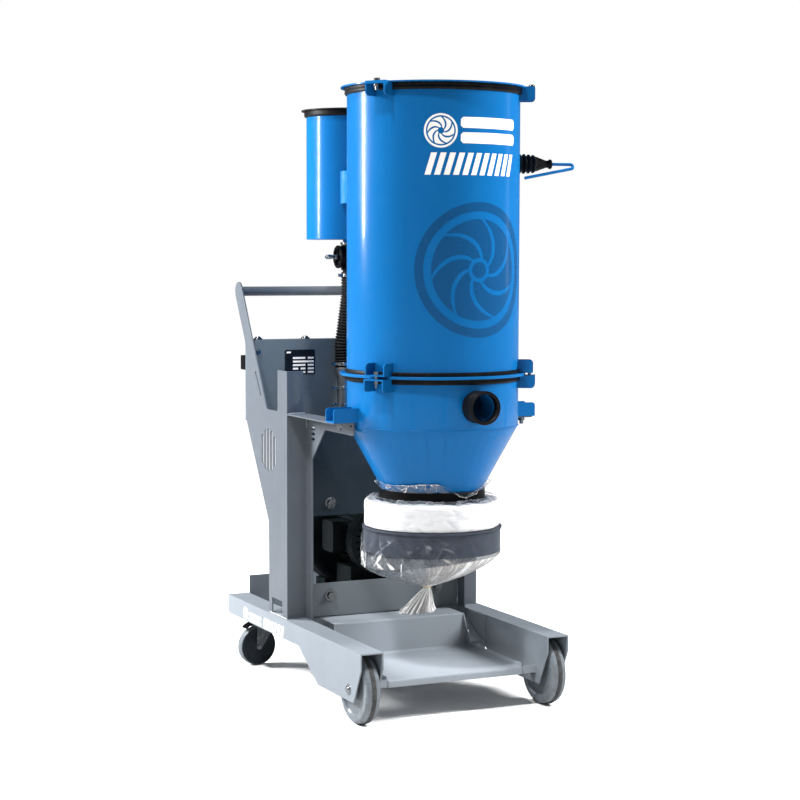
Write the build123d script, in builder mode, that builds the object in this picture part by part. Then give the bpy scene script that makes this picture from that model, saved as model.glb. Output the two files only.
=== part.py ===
from build123d import *
import math
import os

os.makedirs("parts", exist_ok=True)

# Mobile drum dust collector on a four-wheeled cart. Millimetres, +Z up, floor at z = 0.
# The pieces are drawn about the cart's centre plane (x = 0) with the inlet side facing -Y,
# and are moved by TO_ROW as they are written, so that the origin is on the floor under
# the middle of the whole machine.

# ---- cart ----
CART_HALF = 330.0
RAIL_WIDTH = 70.0
RAIL_TOP = 214.0
RAIL_DEPTH = 60.0
RAIL_FRONT = -450.0
RAIL_REAR = 598.0
PLATE = 4.0
SHEET = 3.0
THIN = 2.0
SKIRT_BOTTOM = 67.5
WHEEL_R = 100.0
WHEEL_Y = -367.5
AXLE_R = 6.0
RUN_FIT = 0.05
TRAY_HALF = 215.0
TRAY_FLOOR = 117.0
TRAY_FRONT = -385.0
LEDGE_TOP = 212.0
LEDGE_FRONT = -5.0
PANEL_FACE = 107.0

# ---- uprights, arms and handle ----
SIDE_X = 321.0
POST_FRONT = 110.0
POST_REAR = 186.0
POST_TOP = 963.0
NOTCH_FLOOR = 838.0
HANDLE_Y = 517.5
HANDLE_Z = 1194.3
HANDLE_R = 15.0
HANDLE_EYE_R = 30.0
HANDLE_LEAN = math.radians(60)
BACK_Y = 447.0
ARM_WEB_X = 259.0
ARM_TOP = 836.0
ARM_TIP = -240.0
ARM_DEPTH = 39.0

# ---- drum ----
DRUM_Y = -221.5
DRUM_R = 249.0
DRUM_WALL = 3.0
LID_R = 267.0
LID_LOW = 1786.0
RING_R = 269.0
RING_LOW = 966.0
RING_HIGH = 974.0
WELD_Z = 822.0
CONE_LOW = 640.0
NECK_R = 150.0
NECK_LOW = 600.0
CLAMP_REACH = 291.0
CLAMP_BOLT_R = 281.0
CLAMP_BOLT_RADIUS = 5.0
FLANGE_INNER = 236.0

# ---- second-stage filter housing, relief valve and hose ----
HEPA_Y = 364.0
HEPA_R = 140.0
HEPA_LOW = 1358.0
HEPA_HIGH = 1739.0
STUB_LOW = 1336.0
VALVE_Z = 1304.0
PIPE_X = -22.0
PIPE_R = 24.0
HOSE_R = 32.0
HOSE_BORE = 26.1
HOSE_TOP = 1256.0
HOSE_END = 955.0

# ---- bag ----
PACK_R = 200.0
LIP_Z = 521.0
CASSETTE_LOW = 455.0
KNOT_X = -14.0
KNOT_Z = 346.0
TAIL_LOW = 266.0

# ---- inlet ----
INLET_X = 13.0
INLET_Z = 889.0
INLET_MOUTH = -530.0
INLET_BORE = 38.0

# ---- cleaning lever ----
LEVER_TURN = -12.0
LEVER_Z = 1576.0
LEVER_ROD_R = 4.5
LEVER_REACH = 421.0
LEVER_TIP_X = 414.5
LEVER_PIN_R = 3.0

# ---- electrical cabinet ----
CABINET_HALF = 313.0
CABINET_FRONT = 398.0
CABINET_REAR = 448.0
CABINET_LOW = 790.0
CABINET_TOP = 1045.0
DOOR_REAR = 482.0
HINGE_X = 316.0
HINGE_Y = 486.5
LATCH_X = -302.0
LATCH_Z = 969.0
SWITCH_X = 150.0
SWITCH_Z = 930.0

# ---- blower ----
BLOWER_Y = 364.0
BLOWER_Z = 430.0
BLOWER_R = 170.0
MOTOR_R = 100.0
DECK_LOW = 154.0

# ---- casters ----
CASTER_X = 240.0
CASTER_Y = 488.0
CASTER_R = 62.5
CASTER_TRAIL = 36.0
CASTER_TURNS = {"left": 186.0, "right": 150.0}
PEDAL_PIN = (53.0, 133.2)

SIDES = (("left", -1), ("right", 1))

# The left rear wheel and the lever's bend are the outermost points, which fix the origin.
LOW_X = -CASTER_X + math.cos(math.radians(CASTER_TURNS["left"])) * CASTER_TRAIL - CASTER_R
ORIGIN_X = (LOW_X + LEVER_TIP_X) / 2
ORIGIN_Y = (INLET_MOUTH + RAIL_REAR) / 2
TO_ROW = Location((-ORIGIN_X, -ORIGIN_Y, 0))

DRUM_AXIS = Axis((0, DRUM_Y, 0), (0, 0, 1))
DRUM_SECTION = Plane(origin=(0, DRUM_Y, 0), x_dir=(1, 0, 0), z_dir=(0, -1, 0))
DRUM_PLAN = Plane(origin=(0, DRUM_Y, 0))
HEPA_AXIS = Axis((0, HEPA_Y, 0), (0, 0, 1))
HEPA_SECTION = Plane(origin=(0, HEPA_Y, 0), x_dir=(1, 0, 0), z_dir=(0, -1, 0))


def save(builder, name):
    """Moves a finished piece to the row frame, labels it and writes its STEP file."""
    piece = builder.part.moved(TO_ROW)
    piece.label = name
    export_step(piece, f"parts/{name}.step")


def at_x(x):
    """Sketch plane at x, seen from +X: first axis +Y, second axis +Z, extrudes along +X."""
    return Plane.YZ.offset(x)


def at_y(y):
    """Sketch plane at y, seen from -Y: first axis +X, second axis +Z, extrudes along -Y."""
    return Plane.XZ.offset(-y)


def at_z(z):
    """Horizontal sketch plane at height z."""
    return Plane.XY.offset(z)


def ring_profile(points):
    """Closes a polygon of (radius, height) points in the active sketch."""
    Polygon(*points, align=None)


# ======== cart ========

def web_outline():
    """Side web of a rail: shallow at the rear, deep round the front wheel."""
    lower = RAIL_TOP - RAIL_DEPTH
    return [
        (RAIL_REAR, RAIL_TOP),
        (RAIL_REAR, lower + 8),
        (RAIL_REAR - 8, lower),
        (0, lower),
        (-149, SKIRT_BOTTOM),
        (-401, SKIRT_BOTTOM),
        (RAIL_FRONT, 167),
        (RAIL_FRONT, RAIL_TOP),
    ]


def make_rail(side, sign):
    """Inverted channel with an outer and an inner web, and the axle's holes."""
    middle = sign * (CART_HALF - RAIL_WIDTH / 2)
    outer = sign * CART_HALF
    inner = sign * (CART_HALF - RAIL_WIDTH)
    with BuildPart() as rail:
        for start, amount in ((outer, -sign * PLATE), (inner, sign * PLATE)):
            with BuildSketch(at_x(start)):
                Polygon(*web_outline(), align=None)
                with Locations((WHEEL_Y, WHEEL_R)):
                    Circle(AXLE_R + RUN_FIT, mode=Mode.SUBTRACT)
            extrude(amount=amount)
        with BuildSketch(at_z(RAIL_TOP - PLATE)):
            with Locations((middle, (RAIL_FRONT + RAIL_REAR) / 2)):
                Rectangle(RAIL_WIDTH, RAIL_REAR - RAIL_FRONT)
        extrude(amount=PLATE)
    save(rail, f"{side}_rail")


def make_tray():
    """Folded tray: rear ledge, steep step, low floor, front lip and turned-up sides."""
    floor_rear = LEDGE_FRONT - 24
    with BuildPart() as tray:
        with BuildSketch(at_x(-TRAY_HALF)):
            with BuildLine():
                FilletPolyline(
                    (PANEL_FACE - 1, LEDGE_TOP),
                    (LEDGE_FRONT, LEDGE_TOP),
                    (floor_rear, TRAY_FLOOR),
                    (TRAY_FRONT, TRAY_FLOOR),
                    (TRAY_FRONT, TRAY_FLOOR - 20),
                    radius=6,
                )
                offset(amount=SHEET, side=Side.LEFT)
            make_face()
        extrude(amount=2 * TRAY_HALF)
        for sign in (-1, 1):
            with BuildSketch(at_x(sign * TRAY_HALF)):
                with Locations(((TRAY_FRONT + floor_rear) / 2 - 6, TRAY_FLOOR + 4)):
                    Rectangle(floor_rear - TRAY_FRONT - 30, 14)
                Polygon(
                    (LEDGE_FRONT, LEDGE_TOP),
                    (floor_rear, TRAY_FLOOR - SHEET),
                    (floor_rear - 40, TRAY_FLOOR - SHEET),
                    (floor_rear - 22, TRAY_FLOOR + 11),
                    align=None,
                )
            extrude(amount=sign * SHEET)
    save(tray, "tray")


def make_tray_brackets():
    """Front ties, doubler plates, round-ended straps and their spacers, on both sides."""
    inner = CART_HALF - RAIL_WIDTH
    flange = TRAY_HALF + SHEET
    with BuildPart() as brackets:
        for sign in (-1, 1):
            with BuildSketch(at_y(TRAY_FRONT + 5)):
                with Locations((sign * (flange + inner) / 2, TRAY_FLOOR - 8)):
                    Rectangle(inner - flange, 22)
            extrude(amount=5)
            with BuildSketch(at_x(sign * inner)):
                with Locations((-14, 160)):
                    Rectangle(108, 106)
            extrude(amount=-sign * SHEET)
            with BuildSketch(at_x(sign * (inner - SHEET))):
                with Locations((-2, 147)):
                    SlotCenterToCenter(108, 26, rotation=27)
            extrude(amount=-sign * 6)
            with BuildSketch(at_x(sign * (inner - SHEET - 6))):
                with Locations((-50, 122.4)):
                    Circle(8)
            extrude(amount=-sign * (inner - SHEET - 6 - flange))
    save(brackets, "tray_brackets")


def make_deck():
    """Floor plate behind the tray, with a deep front board and a raised rear board between the rails."""
    half = CART_HALF - RAIL_WIDTH
    front = POST_FRONT + 4
    rear = RAIL_REAR - 6
    with BuildPart() as deck:
        with BuildSketch(at_z(DECK_LOW)):
            with Locations((0, (front + rear) / 2)):
                Rectangle(2 * half, rear - front)
        extrude(amount=PLATE)
        for y, low, high in ((front + PLATE, 112, RAIL_TOP), (rear, DECK_LOW, 272)):
            with BuildSketch(at_y(y)):
                with Locations((0, (low + high) / 2)):
                    Rectangle(2 * half, high - low)
            extrude(amount=PLATE)
    save(deck, "motor_deck")


def side_plate_outline():
    """Side plate corners in (y, z) round to the handle eye, and the arc over the eye."""
    lean = (math.cos(HANDLE_LEAN), math.sin(HANDLE_LEAN))
    front_tangent = (HANDLE_Y - HANDLE_EYE_R * lean[1], HANDLE_Z + HANDLE_EYE_R * lean[0])
    rear_tangent = (HANDLE_Y + HANDLE_EYE_R * lean[1], HANDLE_Z - HANDLE_EYE_R * lean[0])
    crown = (HANDLE_Y + HANDLE_EYE_R * lean[0], HANDLE_Z + HANDLE_EYE_R * lean[1])
    slope = lean[0] / lean[1]
    notch_rear = front_tangent[0] - (front_tangent[1] - NOTCH_FLOOR) * slope
    knee = rear_tangent[1] - (rear_tangent[0] - BACK_Y) / slope
    corners = [
        rear_tangent,
        (BACK_Y, knee),
        (BACK_Y, 787),
        (262, 494),
        (258, RAIL_TOP),
        (POST_FRONT, RAIL_TOP),
        (POST_FRONT, POST_TOP),
        (POST_REAR, POST_TOP),
        (POST_REAR, NOTCH_FLOOR),
        (notch_rear, NOTCH_FLOOR),
        front_tangent,
    ]
    return corners, (front_tangent, crown, rear_tangent)


def vent_slots():
    """Leaning slots that together fill a round outline."""
    outline, pitch, width = 70.0, 25.0, 13.0
    for step in range(-2, 3):
        shift = step * pitch
        length = 2 * math.sqrt(outline**2 - shift**2) - 8
        with Locations((262 + shift, 713)):
            SlotOverall(length, width, rotation=90, mode=Mode.SUBTRACT)


def make_upright(side, sign):
    """One bent plate: the side plate and the front flange turned in from it."""
    inner_face = SIDE_X - PLATE
    corners, eye = side_plate_outline()
    with BuildPart() as upright:
        with BuildSketch(at_x(sign * SIDE_X)) as outline:
            with BuildLine():
                Polyline(*corners)
                ThreePointArc(*eye)
            make_face()
            low_corners = outline.vertices().filter_by_position(Axis.Y, 837, 839)
            fillet(low_corners, 9)
            with Locations((348, 912)):
                SlotCenterToCenter(78, 9, rotation=56, mode=Mode.SUBTRACT)
            with Locations((192, 232)):
                Rectangle(84, 60, mode=Mode.SUBTRACT)
            vent_slots()
        extrude(amount=-sign * PLATE)
        with BuildSketch(at_y(POST_FRONT + PLATE)):
            with Locations((sign * (ARM_WEB_X + inner_face) / 2, (RAIL_TOP + 842) / 2)):
                Rectangle(inner_face - ARM_WEB_X, 842 - RAIL_TOP)
            with Locations((sign * (268 + inner_face) / 2, (842 + POST_TOP) / 2)):
                Rectangle(inner_face - 268, POST_TOP - 842)
            with Locations((sign * 289.5, 909)):
                SlotOverall(84, 17, rotation=90, mode=Mode.SUBTRACT)
        extrude(amount=PLATE)
    save(upright, f"{side}_upright")


def make_arm(side, sign):
    """Drum arm: a long web with its gusset, and the flange that the drum stands on."""
    low = ARM_TOP - ARM_DEPTH
    with BuildPart() as arm:
        with BuildSketch(at_x(sign * ARM_WEB_X)) as web:
            Polygon(
                (POST_FRONT, RAIL_TOP),
                (64, RAIL_TOP),
                (64, 702),
                (-31, low),
                (ARM_TIP, low),
                (ARM_TIP, ARM_TOP),
                (POST_FRONT, ARM_TOP),
                align=None,
            )
            fillet(web.vertices().group_by(Axis.X)[0], 9)
            for height in (762, 778, 794):
                with Locations((56, height)):
                    SlotOverall(26, 8, mode=Mode.SUBTRACT)
            with Locations((ARM_TIP + 18, ARM_TOP - 12)):
                SlotOverall(16, 5, mode=Mode.SUBTRACT)
        extrude(amount=-sign * PLATE)
        inner_face = ARM_WEB_X - PLATE
        with BuildSketch(at_z(ARM_TOP - PLATE)):
            with Locations((sign * (inner_face + SIDE_X) / 2, (ARM_TIP + POST_FRONT) / 2)):
                Rectangle(SIDE_X - inner_face, POST_FRONT - ARM_TIP)
            with Locations((sign * 295, DRUM_Y)):
                Circle(6.5, mode=Mode.SUBTRACT)
        extrude(amount=PLATE)
    save(arm, f"{side}_arm")


def make_front_panel():
    """Panel over the blower bay, with returned edges, a window and four bolt holes."""
    half, low, high = 251.0, RAIL_TOP + 2, 790.0
    with BuildPart() as panel:
        with BuildSketch(at_y(PANEL_FACE + SHEET)):
            with Locations((0, (low + high) / 2)):
                Rectangle(2 * half, high - low)
            with Locations((-90, 420)):
                Rectangle(300, 206, mode=Mode.SUBTRACT)
            with GridLocations(362, 283, 2, 2):
                with Locations((0, 419.5)):
                    Circle(6.2, mode=Mode.SUBTRACT)
        extrude(amount=SHEET)
        with BuildSketch(at_y(PANEL_FACE + 26)):
            for sign in (-1, 1):
                with Locations((sign * (half - SHEET / 2), (low + high) / 2)):
                    Rectangle(SHEET, high - low)
        extrude(amount=23)
    save(panel, "front_panel")


def make_frame_bolts():
    """Panel bolts with large washers, and the round-headed screws of the cabinet."""
    with BuildPart() as bolts:
        for x in (-181, 181):
            for z in (278, 561):
                with BuildSketch(at_y(PANEL_FACE)):
                    with Locations((x, z)):
                        Circle(18)
                extrude(amount=2.5)
                with BuildSketch(at_y(PANEL_FACE - 2.5)):
                    with Locations((x, z)):
                        RegularPolygon(11, 6)
                extrude(amount=7)
                with BuildSketch(at_y(PANEL_FACE + 20)):
                    with Locations((x, z)):
                        Circle(6)
                extrude(amount=20)
        for x in (-296, -136, 136, 296):
            with BuildSketch(Plane(origin=(x, 413, CABINET_TOP))) as washer:
                Circle(15)
            extrude(washer.sketch, amount=2)
            with BuildSketch(Plane(origin=(x, 413, CABINET_TOP + 2))) as head:
                Circle(12.5)
            extrude(head.sketch, amount=8, taper=35)
        for x in (-300, 300):
            with BuildSketch(at_y(CABINET_FRONT)):
                with Locations((x, 1007)):
                    Circle(8)
            extrude(amount=5, taper=25)
    save(bolts, "frame_bolts")


def make_handle():
    """Push handle: a tube between the two leaning arms."""
    half = SIDE_X - PLATE
    with BuildPart() as handle:
        with BuildSketch(at_x(-half)):
            with Locations((HANDLE_Y, HANDLE_Z)):
                Circle(HANDLE_R)
                Circle(HANDLE_R - THIN, mode=Mode.SUBTRACT)
        extrude(amount=2 * half)
    save(handle, "handle_tube")


# ======== wheels ========

def make_front_wheel(side, sign):
    """Solid front wheel with a crowned tread, dished sides and a running bore."""
    centre = sign * (CART_HALF - RAIL_WIDTH / 2)
    section = Plane(origin=(centre, WHEEL_Y, WHEEL_R), x_dir=(1, 0, 0), z_dir=(0, -1, 0))
    bore = AXLE_R + RUN_FIT
    with BuildPart() as wheel:
        with BuildSketch(section):
            with BuildLine():
                Polyline((-29, bore), (-29, 22), (-17, 24), (-17, 70), (-23, 76), (-23, 86))
                ThreePointArc((-23, 86), (-19.5, 94.5), (-11, 98))
                ThreePointArc((-11, 98), (0, WHEEL_R), (11, 98))
                ThreePointArc((11, 98), (19.5, 94.5), (23, 86))
                Polyline((23, 86), (23, 76), (17, 70), (17, 24), (29, 22), (29, bore))
                Line((29, bore), (-29, bore))
            make_face()
        revolve(axis=Axis((centre, WHEEL_Y, WHEEL_R), (1, 0, 0)))
    save(wheel, f"{side}_front_wheel")


def make_axle_bolts():
    """Front axle bolts with a domed head and washer outside and a nut inside the rail."""
    inner = CART_HALF - RAIL_WIDTH
    with BuildPart() as bolts:
        for sign in (-1, 1):
            with BuildSketch(at_x(sign * (inner - 11))):
                with Locations((WHEEL_Y, WHEEL_R)):
                    Circle(AXLE_R)
            extrude(amount=sign * (RAIL_WIDTH + 14))
            with BuildSketch(at_x(sign * CART_HALF)):
                with Locations((WHEEL_Y, WHEEL_R)):
                    Circle(15)
            extrude(amount=sign * 2)
            with BuildSketch(at_x(sign * (CART_HALF + 2))):
                with Locations((WHEEL_Y, WHEEL_R)):
                    Circle(11)
            extrude(amount=sign * 5, taper=30)
            with BuildSketch(at_x(sign * inner)):
                with Locations((WHEEL_Y, WHEEL_R)):
                    RegularPolygon(11, 6)
            extrude(amount=-sign * 9)
    save(bolts, "axle_bolts")


def caster_place(side, sign):
    """Frame of a caster: origin on the floor under its swivel, +X along its trail."""
    return Location((sign * CASTER_X, CASTER_Y, 0), (0, 0, CASTER_TURNS[side]))


def make_caster_plates():
    """Mounting plates under the deck, each with its race and kingpin."""
    with BuildPart() as plates:
        for sign in (-1, 1):
            centre = Location((sign * CASTER_X, CASTER_Y, 0))
            with BuildSketch(at_z(148) * centre):
                RectangleRounded(90, 110, 8)
            extrude(amount=6)
            with BuildSketch(at_z(141) * centre):
                Circle(27)
            extrude(amount=7)
            with BuildSketch(at_z(122) * centre):
                Circle(6)
            extrude(amount=19)
            with BuildSketch(at_z(122) * centre):
                RegularPolygon(10, 6)
            extrude(amount=6)
    save(plates, "caster_plates")


def make_caster_fork(side, sign):
    """Swivel fork with two tapered legs, and the axle bolt through them."""
    place = caster_place(side, sign)
    leg_gap = 19.0
    with BuildPart() as fork:
        with BuildSketch(at_z(132)):
            Circle(30)
            with Locations((16, 0)):
                Rectangle(60, 2 * leg_gap + 6)
            Circle(6.05, mode=Mode.SUBTRACT)
        extrude(amount=8.8)
        for leg in (-1, 1):
            with BuildSketch(at_y(leg * leg_gap if leg < 0 else leg_gap + SHEET)) as blade:
                with BuildLine():
                    Polyline((46, 60), (44, 132), (-24, 132), (27, 57))
                    ThreePointArc((27, 57), (CASTER_TRAIL, 51.5), (46, 60))
                make_face()
                with Locations((CASTER_TRAIL, CASTER_R)):
                    Circle(5.0, mode=Mode.SUBTRACT)
            extrude(amount=SHEET)
        with BuildSketch(at_y(leg_gap + SHEET + 6)):
            with Locations((CASTER_TRAIL, CASTER_R)):
                Circle(5.0)
        extrude(amount=2 * (leg_gap + SHEET) + 12)
        for start in (leg_gap + SHEET + 5, -leg_gap - SHEET):
            with BuildSketch(at_y(start)):
                with Locations((CASTER_TRAIL, CASTER_R)):
                    RegularPolygon(8.5, 6)
            extrude(amount=5)
        for start in (-16.4, 19.4):
            with BuildSketch(at_y(start)):
                with Locations((51, 133)):
                    RectangleRounded(18, 12, 4)
            extrude(amount=SHEET)
        with BuildSketch(at_y(19.4)):
            with Locations(PEDAL_PIN):
                Circle(2.5)
        extrude(amount=38.8)
    turned = fork.part.moved(place)
    with BuildPart() as placed:
        add(turned)
    save(placed, f"{side}_caster_fork")


def make_caster_wheel(side, sign):
    """Caster wheel: grey tyre on a disc with a running bore."""
    place = caster_place(side, sign)
    section = Plane(origin=(CASTER_TRAIL, 0, CASTER_R), x_dir=(0, 1, 0), z_dir=(1, 0, 0))
    with BuildPart() as wheel:
        with BuildSketch(section):
            with BuildLine():
                Polyline((-18.5, 5.05), (-18.5, 13), (-14, 15), (-14, 46), (-16, 50), (-16, 57))
                ThreePointArc((-16, 57), (-13.5, 60.5), (-9, 61.9))
                ThreePointArc((-9, 61.9), (0, CASTER_R), (9, 61.9))
                ThreePointArc((9, 61.9), (13.5, 60.5), (16, 57))
                Polyline((16, 57), (16, 50), (14, 46), (14, 15), (18.5, 13), (18.5, 5.05))
                Line((18.5, 5.05), (-18.5, 5.05))
            make_face()
        revolve(axis=Axis((CASTER_TRAIL, 0, CASTER_R), (0, 1, 0)))
    turned = wheel.part.moved(place)
    with BuildPart() as placed:
        add(turned)
    save(placed, f"{side}_caster_wheel")


def make_caster_brake(side, sign):
    """Foot pedal of the wheel brake, hung on a cross pin over the wheel."""
    place = caster_place(side, sign)
    with BuildPart() as pedal:
        with BuildSketch(at_y(16)):
            with BuildLine():
                Polyline((48, 128), (58, 131), (70, 128), (80, 121), (82, 124))
                Polyline((82, 124), (71, 133), (58, 138), (48, 137))
                Line((48, 137), (48, 128))
            make_face()
            with Locations(PEDAL_PIN):
                Circle(2.5 + RUN_FIT, mode=Mode.SUBTRACT)
        extrude(amount=32)
    turned = pedal.part.moved(place)
    with BuildPart() as placed:
        add(turned)
    save(placed, f"{side}_caster_brake")


# ======== drum ========

def make_hopper():
    """Lower drum: short cylinder, cone and neck, with the hole for the inlet."""
    wall = DRUM_WALL
    with BuildPart() as hopper:
        with BuildSketch(DRUM_SECTION):
            ring_profile([
                (NECK_R, NECK_LOW),
                (NECK_R, CONE_LOW),
                (DRUM_R, WELD_Z),
                (DRUM_R, 951),
                (FLANGE_INNER, 951),
                (FLANGE_INNER, 948),
                (DRUM_R - wall, 948),
                (DRUM_R - wall, WELD_Z + 1),
                (NECK_R - wall, CONE_LOW + 1),
                (NECK_R - wall, NECK_LOW),
            ])
        revolve(axis=DRUM_AXIS)
        with BuildSketch(at_y(DRUM_Y - 150)):
            with Locations((INLET_X, INLET_Z)):
                Circle(INLET_BORE + 3.05)
        extrude(amount=150, mode=Mode.SUBTRACT)
    save(hopper, "hopper")


def make_drum_shell():
    """Upper drum: a rolled cylinder with inward flanges, the duct port and the lever's hole."""
    wall = DRUM_WALL
    turn = math.radians(LEVER_TURN)
    lever_plane = Plane(
        origin=(math.cos(turn) * 200, DRUM_Y + math.sin(turn) * 200, LEVER_Z),
        z_dir=(math.cos(turn), math.sin(turn), 0),
    )
    with BuildPart() as shell:
        with BuildSketch(DRUM_SECTION):
            ring_profile([
                (DRUM_R, 985),
                (DRUM_R, 1766),
                (FLANGE_INNER, 1766),
                (FLANGE_INNER, 1763),
                (DRUM_R - wall, 1763),
                (DRUM_R - wall, 988),
                (FLANGE_INNER, 988),
                (FLANGE_INNER, 985),
            ])
        revolve(axis=DRUM_AXIS)
        with BuildSketch(at_y(DRUM_Y + 260)):
            with Locations((0, 1518)):
                Rectangle(150, 80)
        extrude(amount=100, mode=Mode.SUBTRACT)
        with BuildSketch(lever_plane):
            Circle(13)
        extrude(amount=80, mode=Mode.SUBTRACT)
    save(shell, "drum_shell")


def make_drum_lid():
    """Pressed lid with a raised centre and three bolt tabs."""
    high = LID_LOW + 4
    with BuildPart() as lid:
        with BuildSketch(DRUM_SECTION):
            ring_profile([
                (0, LID_LOW + 6),
                (196, LID_LOW + 6),
                (206, LID_LOW),
                (LID_R, LID_LOW),
                (LID_R, high),
                (208, high),
                (198, high + 6),
                (0, high + 6),
            ])
        revolve(axis=DRUM_AXIS)
        with BuildSketch(Plane(origin=(0, DRUM_Y, LID_LOW))):
            with PolarLocations(0, 3, start_angle=90):
                with Locations(((LID_R + CLAMP_REACH) / 2 - 6, 0)):
                    Rectangle(CLAMP_REACH - LID_R + 12, 66)
        extrude(amount=4)
        with BuildSketch(Plane(origin=(0, DRUM_Y, LID_LOW))):
            with PolarLocations(CLAMP_BOLT_R, 3, start_angle=90):
                Circle(CLAMP_BOLT_RADIUS + 0.5)
        extrude(amount=4, mode=Mode.SUBTRACT)
    save(lid, "drum_lid")


def make_filter_plate():
    """Plate between the two drum halves, which carries the filter over its opening."""
    with BuildPart() as plate:
        with BuildSketch(DRUM_SECTION):
            ring_profile([
                (168, RING_LOW),
                (RING_R, RING_LOW),
                (RING_R, RING_HIGH),
                (168, RING_HIGH),
            ])
        revolve(axis=DRUM_AXIS)
    save(plate, "filter_plate")


def make_gaskets():
    """Rubber rings: drum lid, both sides of the filter plate, and filter housing lid."""
    with BuildPart() as rings:
        with BuildSketch(DRUM_SECTION):
            ring_profile([
                (FLANGE_INNER, 1766),
                (252, 1766),
                (256, 1770),
                (256, 1775),
                (253, 1777),
                (256, 1779),
                (256, LID_LOW),
                (FLANGE_INNER, LID_LOW),
            ])
            ring_profile([
                (FLANGE_INNER, RING_HIGH),
                (254, RING_HIGH),
                (254, 979),
                (252, 985),
                (FLANGE_INNER, 985),
            ])
            ring_profile([
                (FLANGE_INNER, 951),
                (253, 951),
                (256, 955),
                (256, RING_LOW),
                (FLANGE_INNER, RING_LOW),
            ])
        revolve(axis=DRUM_AXIS)
        with BuildSketch(HEPA_SECTION):
            ring_profile([
                (128, HEPA_HIGH),
                (143, HEPA_HIGH),
                (147, HEPA_HIGH + 4),
                (147, HEPA_HIGH + 18),
                (128, HEPA_HIGH + 18),
            ])
        revolve(axis=HEPA_AXIS)
    save(rings, "gaskets")


def channel(plate_low, cheek_end, reach, clear_r, clear_from, clear_to):
    """Clamp lug along +X: a plate between two cheeks that run up or down from it."""
    cheeks_up = cheek_end > plate_low
    low = plate_low if cheeks_up else cheek_end
    high = cheek_end if cheeks_up else plate_low + PLATE
    with BuildPart() as lug:
        with BuildSketch(at_z(low)):
            with Locations(((240 + reach) / 2, 0)):
                Rectangle(reach - 240, 66)
        extrude(amount=high - low)
        pocket_low = plate_low + PLATE if cheeks_up else cheek_end - 1
        pocket_high = cheek_end + 1 if cheeks_up else plate_low
        with BuildSketch(at_z(pocket_low)):
            with Locations(((230 + reach) / 2 + 5, 0)):
                Rectangle(reach - 230 + 10, 66 - 2 * PLATE)
        extrude(amount=pocket_high - pocket_low, mode=Mode.SUBTRACT)
        ends = lug.edges().filter_by(Axis.Y).group_by(Axis.X)[-1]
        rounded = ends.group_by(Axis.Z)[-1] if cheeks_up else ends.group_by(Axis.Z)[0]
        fillet(rounded, 12)
        with BuildSketch(at_z(low)):
            Circle(DRUM_R)
        extrude(amount=high - low, mode=Mode.SUBTRACT)
        with BuildSketch(at_z(clear_from)):
            Circle(clear_r)
        extrude(amount=clear_to - clear_from, mode=Mode.SUBTRACT)
        with BuildSketch(at_z(plate_low)):
            with Locations((CLAMP_BOLT_R, 0)):
                Circle(CLAMP_BOLT_RADIUS + 0.5)
        extrude(amount=PLATE, mode=Mode.SUBTRACT)
    return lug.part


def make_clamp_brackets():
    """Three sets of lugs: under the lid, above the filter plate and below it."""
    lid_lug = channel(LID_LOW - PLATE, 1750, CLAMP_REACH, 256.4, 1765.6, 1790)
    upper_lug = channel(RING_HIGH, 1010, CLAMP_REACH, 254.4, 970, 985.4)
    lower_lug = channel(RING_LOW - PLATE, 930, CLAMP_REACH + 6, 256.4, 950.6, 970)
    with BuildPart(DRUM_PLAN) as brackets:
        with PolarLocations(0, 3, start_angle=90):
            add(lid_lug)
            add(upper_lug)
            add(lower_lug)
    save(brackets, "clamp_brackets")


def make_drum_bolts():
    """Clamp bolts and nuts of the drum, and the bolts that hold its feet to the arms."""
    sets = (
        (1764, 1790, 7, 1774),
        (942, RING_HIGH + PLATE, 8, RING_LOW - PLATE - 8),
    )
    with BuildPart() as bolts:
        for end, seat, head, nut_low in sets:
            with BuildSketch(Plane(origin=(0, DRUM_Y, end))):
                with PolarLocations(CLAMP_BOLT_R, 3, start_angle=90):
                    Circle(CLAMP_BOLT_RADIUS)
            extrude(amount=seat - end)
            with BuildSketch(Plane(origin=(0, DRUM_Y, seat))):
                with PolarLocations(CLAMP_BOLT_R, 3, start_angle=90):
                    RegularPolygon(9, 6)
            extrude(amount=head)
            with BuildSketch(Plane(origin=(0, DRUM_Y, nut_low))):
                with PolarLocations(CLAMP_BOLT_R, 3, start_angle=90):
                    RegularPolygon(9, 6)
            extrude(amount=8)
        for x in (-295, 295):
            spot = Location((x, DRUM_Y, 0))
            with BuildSketch(at_z(812) * spot):
                Circle(6)
            extrude(amount=28)
            with BuildSketch(at_z(ARM_TOP + PLATE) * spot):
                RegularPolygon(11, 6)
            extrude(amount=8)
            with BuildSketch(at_z(ARM_TOP - PLATE - 10) * spot):
                RegularPolygon(11, 6)
            extrude(amount=10)
    save(bolts, "drum_bolts")


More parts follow.
